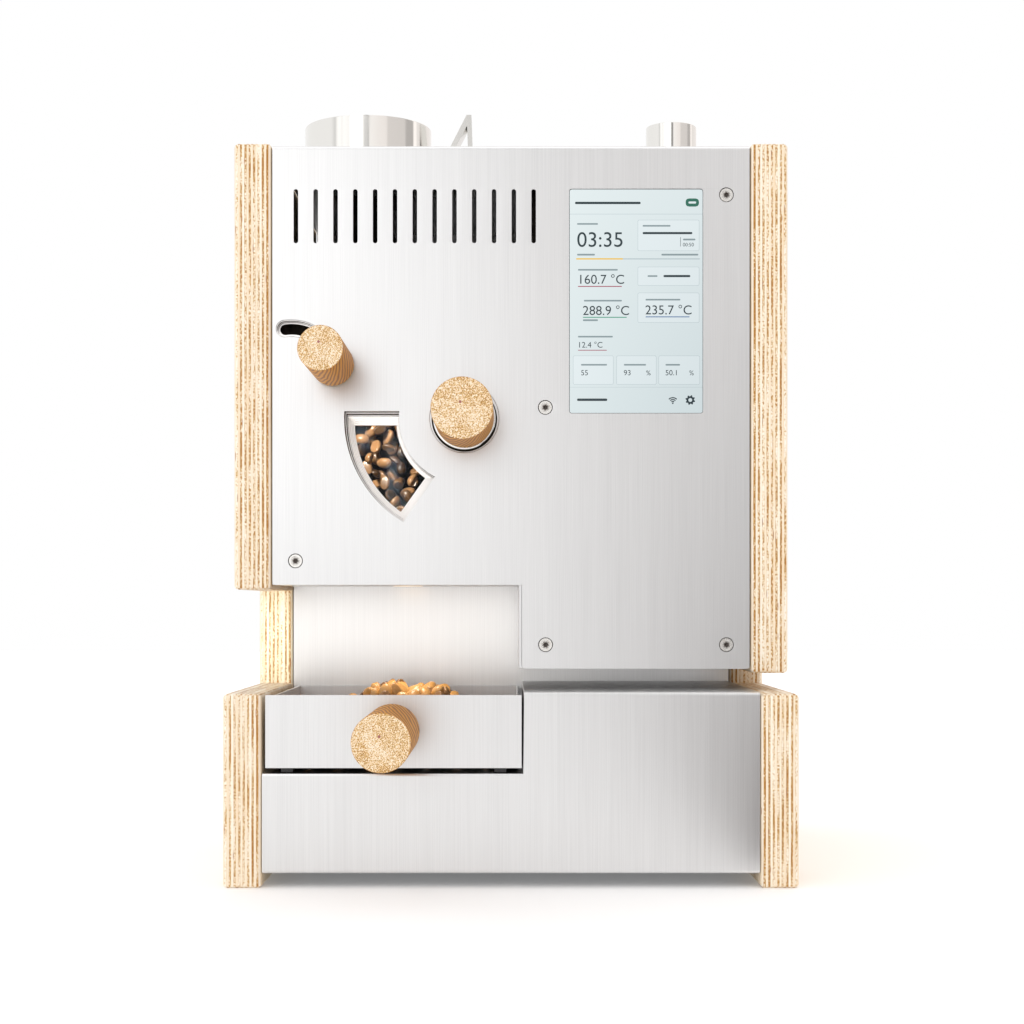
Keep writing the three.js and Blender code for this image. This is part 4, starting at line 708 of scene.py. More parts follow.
@dataclass(frozen=True)
class SolderMask:
    """Glass-fibre circuit board under green solder mask: glossy, the tracks faintly lighter."""

    name: str = "solder_masked_board"
    green: str = "0F3D26"
    track: str = "1F6B42"
    track_mm: float = 2.5

    def material(self) -> Material:
        """Build the material.

        Returns:
            The material.
        """
        recipe = Recipe(self.name)
        pitch = per_metre(self.track_mm)
        tracks = recipe.add(
            "TexBrick",
            {
                "Vector": recipe.place((pitch, pitch, pitch)),
                "Color1": linear(self.green),
                "Color2": linear("133F2B"),
                "Mortar": linear(self.track),
                "Scale": 1.0,
                "Mortar Size": 0.08,
            },
        )
        return recipe.feed(Base_Color=tracks, Roughness=0.3, IOR=1.5)


@dataclass(frozen=True)
class MicaSheet:
    """Pressed mica that carries the heating wire: silvery tan flakes in thin layers."""

    name: str = "pressed_mica"
    pale: str = "CDBE9F"
    brown: str = "8C7B5C"
    flake_mm: float = 3.0

    def material(self) -> Material:
        """Build the material.

        Returns:
            The material.
        """
        recipe = Recipe(self.name)
        pitch = per_metre(self.flake_mm)
        flakes = recipe.add("TexVoronoi", recipe.pattern((pitch,) * 3))
        tone = recipe.add(
            "ValToRGB", {"Fac": flakes.outputs["Distance"]}, [(0.0, self.pale), (0.9, self.brown)]
        )
        return recipe.feed(Base_Color=tone, Roughness=0.35, IOR=1.58)


@dataclass(frozen=True)
class LampLens:
    """Opal polycarbonate lens, moulded: it glows warm and evenly, a little dimmer at its edge."""

    name: str = "opal_lamp_lens"
    x_mm: float = -76.0
    y_mm: float = 20.9
    radius_mm: float = 11.7
    glow: float = 1.9

    def material(self) -> Material:
        """Build the material.

        Returns:
            The material.
        """
        recipe = Recipe(self.name)
        reach = per_metre(self.radius_mm)
        radial = recipe.add(
            "VectorMath",
            {0: recipe.place((reach, reach, 0.0), (self.x_mm * MM, self.y_mm * MM, 0.0))},
            operation="LENGTH",
        )
        tint = recipe.add(
            "ValToRGB",
            {"Fac": radial.outputs["Value"]},
            [(0.0, "FFE9CB"), (0.8, "FFDDB0"), (1.0, "D9AE7C")],
        )
        return recipe.feed(
            Base_Color=linear("FFF4E4"),
            Roughness=0.4,
            Emission_Color=tint,
            Emission_Strength=self.glow,
        )


@dataclass(frozen=True)
class CoffeeBeans:
    """Roasted coffee beans: a matt to oily brown skin that differs from bean to bean."""

    name: str
    dark: str
    light: str
    roughness: float
    mottle_mm: float = 2.2

    def material(self) -> Material:
        """Build the material.

        Returns:
            The material.
        """
        recipe = Recipe(self.name)
        pitch = per_metre(self.mottle_mm)
        own_tone = recipe.add("Attribute", attribute_name="bean_tone")
        mottle = recipe.add("TexNoise", recipe.pattern((pitch,) * 3, Detail=3.0))
        share = recipe.add(
            "Math",
            {0: mottle.outputs["Fac"], 1: 0.5, 2: own_tone.outputs["Fac"]},
            operation="MULTIPLY_ADD",
        )
        colour = recipe.add("ValToRGB", {"Fac": share}, [(0.15, self.dark), (1.0, self.light)])
        bump = recipe.add(
            "Bump", {"Height": mottle.outputs["Fac"], "Strength": 0.4, "Distance": 0.0003}
        )
        return recipe.feed(Base_Color=colour, Roughness=self.roughness, IOR=1.46, Normal=bump)


@dataclass(frozen=True)
class ScreenInk:
    """One tone of the lit display: light from the panel behind cover glass, slightly uneven."""

    name: str
    tone: str
    corner: str
    glow: float = 1.0

    def material(self) -> Material:
        """Build the material.

        Returns:
            The material.
        """
        recipe = Recipe(self.name)
        fall = recipe.add(
            "VectorMath",
            {0: recipe.place((6.5, 0.0, -4.0), (0.04, 0.0, 0.4725)), 1: (0.5, 0.0, 0.5)},
            operation="DOT_PRODUCT",
        )
        colour = recipe.add(
            "ValToRGB", {"Fac": fall.outputs["Value"]}, [(0.0, self.tone), (0.7, self.corner)]
        )
        return recipe.feed(
            Base_Color=linear("0A0C0E"),
            Roughness=0.12,
            IOR=1.5,
            Emission_Color=colour,
            Emission_Strength=self.glow,
        )


@dataclass(frozen=True)
class StudioPaper:
    """Matt white background paper: it takes only soft shadows."""

    name: str = "white_background_paper"
    white: str = "FAFAFA"
    glow: float = 0.12  # lit a little from behind, as a translucent shooting table is

    def material(self) -> Material:
        """Build the material.

        Returns:
            The material.
        """
        recipe = Recipe(self.name)
        fibre = recipe.add("TexNoise", recipe.pattern((8.0, 8.0, 8.0), Detail=2.0))
        tone = recipe.add(
            "Mix",
            {MIX_FACTOR: fibre.outputs["Fac"], MIX_A: linear(self.white), MIX_B: linear("F6F6F6")},
            data_type="RGBA",
        )
        return recipe.feed(
            Base_Color=tone.outputs[MIX_RESULT],
            Roughness=0.9,
            Emission_Color=linear("FFFFFF"),
            Emission_Strength=self.glow,
        )


BRUSHED = BrushedSteel()
POLISHED = PolishedSteel()
SCREW = SocketedSteel()
BLACK_ZINC = GrainedMetal("black_passivated_zinc_steel", "45403B", "2B2723", 0.45, 5.0)
CUT = LaserCutSteel()
PLY = BirchPly()
GLASS = ClearGlass()
BLACK_ABS = MouldedPlastic("moulded_black_abs", "141415", 0.45)
DARK_ROAST = CoffeeBeans("dark_roast_beans", "150B06", "8A6644", 0.32)
LIGHT_ROAST = CoffeeBeans("light_roast_beans", "46240C", "BE8E50", 0.32)
PAPER = StudioPaper()
DARK_CARD = MouldedPlastic("dark_studio_card", "4A3830", 0.9)
SCREEN = ScreenInk("display_ground", "E3EDEE", "C9D5D8")
CARD = ScreenInk("display_card", "E8F1F3", "D0DBDE")
CARD_EDGE = ScreenInk("display_card_edge", "BFCDD1", "A9B7BB")
INK = ScreenInk("display_ink", "26383C", "22323A")
LABEL = ScreenInk("display_label", "8D9DA1", "7F8E92")
YELLOW = ScreenInk("display_yellow", "F2C53D", "E8BA34")
CRIMSON = ScreenInk("display_crimson", "A63D57", "9A3850")
GREEN = ScreenInk("display_green", "2E9E7B", "288A6C")
BLUE = ScreenInk("display_blue", "3F6FA8", "386395")
PILL = ScreenInk("display_pill", "1E6B57", "1B5F4E")

# The finish that each material slot of the record stands for
FINISHES: dict[str, Any] = {
    "birch_ply": PLY,
    "brushed_steel": BRUSHED,
    "polished_steel": POLISHED,
    "zinc_steel": GrainedMetal("zinc_plated_steel", "BFC1C2", "A3A6A8", 0.38, 6.0),
    "dark_steel": GrainedMetal("heat_scaled_steel", "4A443F", "2B2725", 0.5, 4.0, 0.05),
    "oak": Oak("plain_oak", 0.0, 0.0),
    "sight_glass": GLASS,
    "display_screen": BLACK_ABS,
    "black_plastic": BLACK_ABS,
    "cast_aluminium": GrainedMetal("die_cast_aluminium", "B4B6B8", "9B9EA0", 0.42, 1.2, 0.08),
    "circuit_board": SolderMask(),
    "lamp_lens": LampLens(),
    "mica": MicaSheet(),
    "belt_rubber": MouldedPlastic("ribbed_belt_rubber", "101010", 0.7, 1.0),
}

made_materials: dict[str, Material] = {}


def material_of(finish: Any) -> Material:
    """Give a finish's material, made once and then shared.

    Args:
        finish: One of the finish dataclasses.

    Returns:
        The material.
    """
    if finish.name not in made_materials:
        made_materials[finish.name] = finish.material()
    return made_materials[finish.name]


def dress(mesh: Mesh, finish: Any) -> None:
    """Give a mesh one finish.

    Args:
        mesh: The mesh.
        finish: One of the finish dataclasses.
    """
    mesh.materials.clear()
    mesh.materials.append(material_of(finish))


@dataclass(frozen=True)
class Span:
    """A CAD node's box at rest, in millimetres."""

    x0: float
    y0: float
    z0: float
    x1: float
    y1: float
    z1: float

    @classmethod
    def of(cls, node: str) -> "Span":
        """Read a node's box."""
        low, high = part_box(node)
        return cls(*[c / MM for c in low], *[c / MM for c in high])

    @property
    def x(self) -> float:
        """Middle across."""
        return (self.x0 + self.x1) / 2

    @property
    def y(self) -> float:
        """Middle from front to back."""
        return (self.y0 + self.y1) / 2

    @property
    def z(self) -> float:
        """Middle height."""
        return (self.z0 + self.z1) / 2


class Plane(Enum):
    """The plane an outline is drawn in. Its thickness runs along the third axis."""

    FRONT = "xz"
    SIDE = "yz"
    TOP = "xy"

    def place(self, u: float, v: float, w: float) -> Vector:
        """Put a point of this plane in the row frame.

        Args:
            u: Across the outline.
            v: Up the outline.
            w: Along the thickness.

        Returns:
            The point, in the same unit.
        """
        if self is Plane.FRONT:
            return Vector((u, w, v))
        if self is Plane.SIDE:
            return Vector((w, u, v))
        return Vector((u, v, w))


def arc(cx: float, cz: float, radius: float, start: float, end: float, steps: int) -> Outline:
    """Give points on an arc.

    Args:
        cx: Centre across.
        cz: Centre up.
        radius: Radius.
        start: First angle in degrees.
        end: Last angle in degrees.
        steps: Number of chords.

    Returns:
        The points, both ends included.
    """
    angles = [math.radians(start + (end - start) * i / steps) for i in range(steps + 1)]
    return [(cx + radius * math.cos(a), cz + radius * math.sin(a)) for a in angles]


def circle(cx: float, cz: float, radius: float, steps: int = FINE_SEGMENTS) -> Outline:
    """Give a circle's points, the last one not repeated."""
    return arc(cx, cz, radius, 0, 360, steps)[:-1]


def rectangle(left: float, right: float, low: float, high: float) -> Outline:
    """Give a rectangle's corners."""
    return [(left, low), (right, low), (right, high), (left, high)]


def bend(start: Vector, knee: Vector, end: Vector, steps: int) -> list[Vector]:
    """Give a smooth curve between two points that leans towards a third.

    Args:
        start: Where it starts.
        knee: The point that it leans towards.
        end: Where it ends.
        steps: Number of chords.

    Returns:
        The points, both ends included.
    """
    shares = [i / steps for i in range(steps + 1)]
    return [start * (1 - t) ** 2 + knee * 2 * t * (1 - t) + end * t * t for t in shares]


def rounded(points: Outline, radii: float | Sequence[float], steps: int = 5) -> Outline:
    """Round the corners of an outline.

    Args:
        points: The corners.
        radii: One radius, or one for each corner.
        steps: Chords for each corner.

    Returns:
        The rounded outline.
    """
    result: Outline = []
    for i, point in enumerate(points):
        radius = radii if isinstance(radii, (int, float)) else radii[i]
        here = Vector(point)
        before = Vector(points[i - 1]) - here
        after = Vector(points[(i + 1) % len(points)]) - here
        reach = radius / math.tan(before.angle(after) / 2) if radius else 0.0
        reach = min(reach, before.length * 0.49, after.length * 0.49)
        if reach <= 0:
            result.append(point)
            continue
        start, end = here + before.normalized() * reach, here + after.normalized() * reach
        result += [tuple(place) for place in bend(start, here, end, steps)]
    return result


def slot_outline(cx: float, low: float, width: float, height: float) -> Outline:
    """Give an upright slot with round ends.

    Args:
        cx: Its middle.
        low: Its lowest point.
        width: Its width.
        height: Its height.

    Returns:
        The outline, in millimetres.
    """
    radius = width / 2
    bottom = arc(cx, low + radius, radius, -180, 0, 8)
    return bottom + arc(cx, low + height - radius, radius, 0, 180, 8)


def link(obj: bpy.types.Object) -> bpy.types.Object:
    """Put an object in the scene."""
    bpy.context.scene.collection.objects.link(obj)
    return obj


def plain_mesh(obj: bpy.types.Object) -> Mesh:
    """Evaluate an object to a plain mesh and remove the object.

    Args:
        obj: A mesh with modifiers, a curve or a text.

    Returns:
        The mesh.
    """
    graph = bpy.context.evaluated_depsgraph_get()
    mesh = bpy.data.meshes.new_from_object(obj.evaluated_get(graph))
    bpy.data.objects.remove(obj)
    return mesh


def mesh_from(work: WorkMesh) -> Mesh:
    """Turn a bmesh into a mesh and free it.

    Args:
        work: The bmesh.

    Returns:
        The mesh.
    """
    mesh = bpy.data.meshes.new("piece")
    work.to_mesh(mesh)
    work.free()
    return mesh


def mesh_of(build: Callable[[WorkMesh], None], weld_mm: float = 0.001) -> Mesh:
    """Make a mesh in millimetres and turn it to metres.

    Args:
        build: Fills an empty bmesh.
        weld_mm: Points closer than this are merged.

    Returns:
        The mesh, with its faces pointing outwards.
    """
    work = bmesh.new()
    build(work)
    bmesh.ops.remove_doubles(work, verts=work.verts, dist=weld_mm)
    bmesh.ops.recalc_face_normals(work, faces=work.faces)
    mesh = mesh_from(work)
    mesh.transform(Matrix.Scale(MM, 4))
    return mesh


def moved(mesh: Mesh, move: Callable[[Vector], Iterable[float]], weld_mm: float = 0.001) -> Mesh:
    """Put each point of a mesh elsewhere.

    Args:
        mesh: The mesh.
        move: Gives a point's new place in millimetres.
        weld_mm: Points closer than this are merged.

    Returns:
        The new mesh, in metres.
    """

    def build(work: WorkMesh) -> None:
        """Copy the mesh and move its points.

        Args:
            work: The mesh being built.
        """
        work.from_mesh(mesh)
        for vertex in work.verts:
            vertex.co = move(vertex.co)

    return mesh_of(build, weld_mm)


def slice_at(work: WorkMesh, level: float) -> None:
    """Cut edges and faces where they cross a height in millimetres.

    Args:
        work: The bmesh.
        level: The height.
    """
    geometry = [*work.verts, *work.edges, *work.faces]
    place, facing = (0, 0, level * MM), (0, 0, 1)
    bmesh.ops.bisect_plane(work, geom=geometry, dist=1e-7, plane_co=place, plane_no=facing)


def cut_sheet(
    outline: Outline,
    holes: Sequence[Outline],
    low: float,
    high: float,
    plane: Plane,
    bevel: float = 0.25,
    rounds: int = 1,
) -> Mesh:
    """Cut a flat sheet with softened edges.

    Args:
        outline: The outer edge, in millimetres.
        holes: The edges of the holes.
        low: Where the thickness starts.
        high: Where it ends.
        plane: The plane of the outline.
        bevel: Size of the softened edge.
        rounds: Chords of that edge.

    Returns:
        The mesh, in metres.
    """
    curve = bpy.data.curves.new("outline", "CURVE")
    curve.dimensions = "2D"
    curve.fill_mode = "BOTH"
    curve.extrude = (high - low) / 2 - bevel
    curve.bevel_depth = bevel
    curve.bevel_resolution = rounds
    curve.offset = -bevel
    for loop in [outline, *holes]:
        spline = curve.splines.new("POLY")
        spline.points.add(len(loop) - 1)
        for point, (u, v) in zip(spline.points, loop):
            point.co = (u, v, 0.0, 1.0)
        spline.use_cyclic_u = True
    flat = plain_mesh(link(bpy.data.objects.new("outline", curve)))
    middle = (low + high) / 2
    return moved(flat, lambda co: plane.place(co.x, co.y, co.z + middle))


def loop_strip(loops: Sequence[Sequence[Vector]], closed: bool) -> Callable[[WorkMesh], None]:
    """Join loops of equal length, or single points, by faces.

    Args:
        loops: Each loop's points. A loop of one point is a pole.
        closed: Whether the last loop joins the first.

    Returns:
        A function that fills a bmesh.
    """

    def build(work: WorkMesh) -> None:
        """Add the points and faces.

        Args:
            work: The mesh being built.
        """
        rings = [[work.verts.new(p) for p in loop] for loop in loops]
        pairs = list(zip(rings, rings[1:]))
        if closed:
            pairs.append((rings[-1], rings[0]))
        for first, second in pairs:
            count = max(len(first), len(second))
            for i in range(count):
                j = (i + 1) % count
                corners = [first[i % len(first)], first[j % len(first)]]
                corners += [second[j % len(second)], second[i % len(second)]]
                unique = list(dict.fromkeys(corners))
                if len(unique) > 2:
                    work.faces.new(unique)

    return build


def turned(
    profile: Sequence[Point],
    u: float,
    v: float,
    plane: Plane = Plane.FRONT,
    segments: int = ROUND_SEGMENTS,
    closed: bool = False,
) -> Mesh:
    """Turn a profile round an axis square to a plane.

    Args:
        profile: Radius and place along the axis, point by point.
        u: The axis across the plane.
        v: The axis up the plane.
        plane: The plane that the circles lie in.
        segments: Sides of each circle.
        closed: Whether the profile closes on itself.

    Returns:
        The mesh, in metres.
    """
    loops = []
    for radius, w in profile:
        if radius == 0:
            loops.append([plane.place(u, v, w)])
        else:
            loops.append([plane.place(a, b, w) for a, b in circle(u, v, radius, segments)])
    return mesh_of(loop_strip(loops, closed))


def stepped(levels: Sequence[tuple[Outline, float]]) -> Mesh:
    """Join outlines that face the front, each at its depth, and close them on themselves."""
    loops = [[Plane.FRONT.place(x, z, w) for x, z in shape] for shape, w in levels]
    return mesh_of(loop_strip(loops, True))


def joined(meshes: Sequence[Mesh]) -> Mesh:
    """Put several meshes into one.

    Args:
        meshes: The meshes.

    Returns:
        One mesh with all their faces.
    """
    work = bmesh.new()
    for mesh in meshes:
        work.from_mesh(mesh)
    return mesh_from(work)


def add_piece(
    name: str,
    mesh: Mesh,
    finish: Any,
    body: str,
    nodes: Sequence[str] = (),
    sharp: float = SHARP_DEGREES,
) -> None:
    """Add a finished piece that rides on a body.

    Args:
        name: The piece's name.
        mesh: Its mesh, in place.
        finish: Its finish.
        body: The body that it moves with.
        nodes: CAD nodes that it stands for.
        sharp: Edges sharper than this many degrees stay crisp.
    """
    mesh.polygons.foreach_set("use_smooth", [True] * len(mesh.polygons))
    mesh.set_sharp_from_angle(angle=math.radians(sharp))
    draft = link(bpy.data.objects.new("draft", mesh))
    weigh = draft.modifiers.new("weigh", "WEIGHTED_NORMAL")
    weigh.keep_sharp = True
    obj = link(bpy.data.objects.new(name, plain_mesh(draft)))
    obj.data.name = name
    dress(obj.data, finish)
    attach(obj, body)
    if nodes:
        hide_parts(*nodes)


def softened(node: str, width: float, segments: int = 2) -> Mesh:
    """Copy a CAD node's mesh, weld it and soften its edges.

    Args:
        node: The node's name.
        width: Width of the softened edge in millimetres.
        segments: Faces across that edge.

    Returns:
        The new mesh, in metres.
    """
    work = bmesh.new()
    work.from_mesh(frame["nodes"][node].data)
    bmesh.ops.remove_doubles(work, verts=work.verts, dist=WELD_MM * MM)
    flat = math.radians(FLAT_DEGREES)
    bmesh.ops.dissolve_limit(work, angle_limit=flat, verts=work.verts, edges=work.edges)
    draft = link(bpy.data.objects.new("draft", mesh_from(work)))
    bevel = draft.modifiers.new("bevel", "BEVEL")
    bevel.width = width * MM
    bevel.segments = segments
    bevel.limit_method = "ANGLE"
    bevel.angle_limit = math.radians(SHARP_DEGREES)
    bevel.use_clamp_overlap = True
    return plain_mesh(draft)


def cut_level(mesh: Mesh, level: float, above: bool) -> Mesh:
    """Copy the part of a mesh on one side of a level.

    Args:
        mesh: The mesh, in metres.
        level: The height in millimetres.
        above: Whether the upper part is kept.

    Returns:
        The new mesh.
    """
    work = bmesh.new()
    work.from_mesh(mesh)
    slice_at(work, level)
    others = [f for f in work.faces if (f.calc_center_median().z / MM > level) != above]
    bmesh.ops.delete(work, geom=others, context="FACES")
    return mesh_from(work)


class GeometryTree:
    """A geometry-nodes tree with named inputs, run once to make a plain mesh."""

    def __init__(self, name: str) -> None:
        """Start the tree with a geometry input and output.

        Args:
            name: The tree's name.
        """
        self.tree = bpy.data.node_groups.new(name, "GeometryNodeTree")
        for way in ("INPUT", "OUTPUT"):
            self.tree.interface.new_socket("Geometry", in_out=way, socket_type="NodeSocketGeometry")
        self.values: dict[str, Any] = {}
        self.entry = self.add("NodeGroupInput")

    def add(self, kind: str, inputs: Inputs | None = None, **settings: Any) -> bpy.types.Node:
        """Add a node to this tree, as add_node does."""
        return add_node(self.tree, kind, inputs, **settings)

    def size(self, name: str, kind: str, value: Any) -> Socket:
        """Add a named input.

        Args:
            name: The input's name.
            kind: Its socket type, such as Float, Int, Object or Material.
            value: What the modifier gives it.

        Returns:
            The socket that carries it.
        """
        item = self.tree.interface.new_socket(name, in_out="INPUT", socket_type=f"NodeSocket{kind}")
        self.values[item.identifier] = value
        return self.entry.outputs[name]

    def run(self, geometry: Socket, finish: Any, base: Mesh) -> Mesh:
        """End the tree, run it on a base mesh and give the plain result.

        Args:
            geometry: What the tree has made.
            finish: The finish of all of it.
            base: The mesh that the tree starts from.

        Returns:
            The mesh, in metres.
        """
        material = self.size("Material", "Material", material_of(finish))
        real = self.add("GeometryNodeRealizeInstances", {0: geometry}).outputs[0]
        painted = self.add("GeometryNodeSetMaterial", {"Geometry": real, "Material": material})
        self.add("NodeGroupOutput", {0: painted.outputs[0]})
        draft = link(bpy.data.objects.new("draft", base))
        modifier = draft.modifiers.new("nodes", "NODES")
        modifier.node_group = self.tree
        for identifier, value in self.values.items():
            modifier[identifier] = value
        return plain_mesh(draft)


@dataclass
class PlywoodSides:
    """The two stepped plywood sides that carry the roaster."""

    corner: float = 3.2  # at least the edge's rounding, or the faces part from it
    edge: float = 2.9
    plate_inset: float = 0.8
    cover_rise: float = 1.4
    left_rise: float = 3.1
    right_rise: float = 2.8
    fold: float = 2.3

    def outline(self, notch_top: float, side: Span) -> Outline:
        """Give a side's outline seen along X.

        Args:
            notch_top: Where the upper part ends over the notch.
            side: The panel's box.

        Returns:
            The rounded outline in Y and Z.
        """
        upper = Span.of("front_plate").y0 - self.plate_inset
        notch = Span.of("bay_back_plate").y0
        floor = Span.of("lower_cover").z1 - self.cover_rise
        corners = [
            (side.y0, 0.0),
            (side.y1, 0.0),
            (side.y1, side.z1),
            (upper, side.z1),
            (upper, notch_top),
            (notch, notch_top),
            (notch, floor),
            (side.y0, floor),
        ]
        r = self.corner
        return rounded(corners, [r, r, r, r, r, 0, 0, r])

    def build(self) -> None:
        """Build both panels."""
        left_top = Span.of("bay_ceiling").z1 - self.fold - self.left_rise
        right_top = Span.of("front_plate").z0 - self.right_rise
        for node, top in (("side_panel_left", left_top), ("side_panel_right", right_top)):
            side = Span.of(node)
            shape = self.outline(top, side)
            mesh = cut_sheet(shape, [], side.x0, side.x1, Plane.SIDE, self.edge, 3)
            add_piece(f"{node}_ply", mesh, PLY, "case", [node])


@dataclass
class FrontPlate:
    """The brushed front with its folded top, and the holes that the parts behind it need."""

    sheet: float = 2.0
    fold: float = 2.5
    step_x: float = 7.5
    corner: float = 2.6
    bend_steps: int = 7
    screw_hole: float = 5.0
    trier_hole: float = 23.85
    slot_count: int = 13
    slot_width: float = 3.0
    slot_height: float = 37.0
    slot_first: float = -147.6
    slot_last: float = 15.6
    slot_drop: float = 67.0
    lever_radius: float = 29.3
    lever_width: float = 11.7
    lever_start: float = 5.0
    lever_end: float = 98.6
    pivot: Point = (-151.0, 347.4)
    funnel_hole: float = 42.0
    pipe_hole: float = 19.3
    gate_slot: tuple[float, float, float, float] = (-30.75, 15.75, -2.1, 19.1)
    glass_gap: float = 0.1
    glass_corner: float = 2.0
    left_drop: float = 2.3
    free_run: float = 0.6

    def holes(self) -> list[Outline]:
        """Give every hole, in X and the distance along the flat sheet.

        Returns:
            The outlines of the holes.
        """
        plate, drum = Span.of("front_plate"), Span.of("drum_pulley")
        glass, funnel, pipe = Span.of("display_glass"), Span.of("funnel"), Span.of("exhaust_pipe")
        gap, low = self.glass_gap, plate.z1 - self.slot_drop
        opening = rectangle(glass.x0 - gap, glass.x1 + gap, glass.z0 - gap, glass.z1 + gap)
        holes = [circle(s.x, s.z, self.screw_hole) for s in map(Span.of, SCREW_NODES)]
        holes += [
            circle(drum.x, drum.z, self.trier_hole, ROUND_SEGMENTS),
            SightWindow().outline(0.0, 0.0),
            lever_slot(self, self.lever_width / 2),
            rounded(opening, self.glass_corner),
        ]
        pitch = (self.slot_last - self.slot_first) / (self.slot_count - 1)
        for i in range(self.slot_count):
            place = self.slot_first + i * pitch
            holes.append(slot_outline(place, low, self.slot_width, self.slot_height))
        # The top's holes lie past the fold on the flat sheet
        ahead = self.along_top(plate)
        left, right, near, far = self.gate_slot
        holes += [
            circle(funnel.x, ahead(funnel.y), self.funnel_hole, ROUND_SEGMENTS),
            circle(pipe.x1 - PIPE_REACH, ahead(pipe.y), self.pipe_hole, ROUND_SEGMENTS),
            rounded(rectangle(left, right, ahead(near), ahead(far)), 1.0),
        ]
        return holes

    def along_top(self, plate: Span) -> Callable[[float], float]:
        """Give the function from a Y on the top to its distance along the flat sheet."""
        start = plate.z1 - self.fold + self.fold * math.pi / 2
        return lambda y: start + (y - plate.y0 - self.fold)

    def build(self) -> None:
        """Cut the flat sheet, then fold its top back."""
        plate = Span.of("front_plate")
        left_bottom = Span.of("bay_ceiling").z1 - self.left_drop
        ahead = self.along_top(plate)
        corners = [
            (self.step_x, plate.z0),
            (plate.x1, plate.z0),
            (plate.x1, ahead(plate.y1)),
            (plate.x0, ahead(plate.y1)),
            (plate.x0, left_bottom),
            (self.step_x, left_bottom),
        ]
        outline = rounded(corners, [self.corner, self.corner, 0.5, 0.5, self.corner, 0.4])
        flat = cut_sheet(outline, self.holes(), 0.0, self.sheet, Plane.FRONT, 0.2)
        bend_start = plate.z1 - self.fold
        bend_length = self.fold * math.pi / 2
        work = bmesh.new()
        work.from_mesh(flat)
        step = bend_length / self.bend_steps
        places = [bend_start + step * i for i in range(self.bend_steps + 1)]
        for place in [bend_start - self.free_run, *places, places[-1] + self.free_run]:
            slice_at(work, place)
        for vertex in work.verts:
            s, depth = vertex.co.z / MM, vertex.co.y / MM
            run = s - bend_start
            if run <= 0:
                y, z = plate.y0 + depth, s
            elif run < bend_length:
                angle = run / self.fold
                y = plate.y0 + self.fold - (self.fold - depth) * math.cos(angle)
                z = bend_start + (self.fold - depth) * math.sin(angle)
            else:
                y, z = plate.y0 + self.fold + run - bend_length, plate.z1 - depth
            vertex.co.y, vertex.co.z = y * MM, z * MM
        bmesh.ops.recalc_face_normals(work, faces=work.faces)
        nodes = ["front_plate"]
        add_piece("front_plate_folded", mesh_from(work), BRUSHED, "case", nodes)


def lever_slot(plate: FrontPlate, half: float) -> Outline:
    """Give the lever's curved slot.

    Args:
        plate: The front plate, which holds the slot's sizes.
        half: Half of the slot's width.

    Returns:
        The closed outline.
    """
    x, z = plate.pivot
    radius, start, end = plate.lever_radius, plate.lever_start, plate.lever_end
    first, last = arc(x, z, radius, start, end, 1)
    return (
        arc(x, z, radius + half, start, end, 28)
        + arc(last[0], last[1], half, end, end + 180, 12)[1:-1]
        + arc(x, z, radius - half, end, start, 28)
        + arc(first[0], first[1], half, start + 180, start + 360, 12)[1:-1]
    )


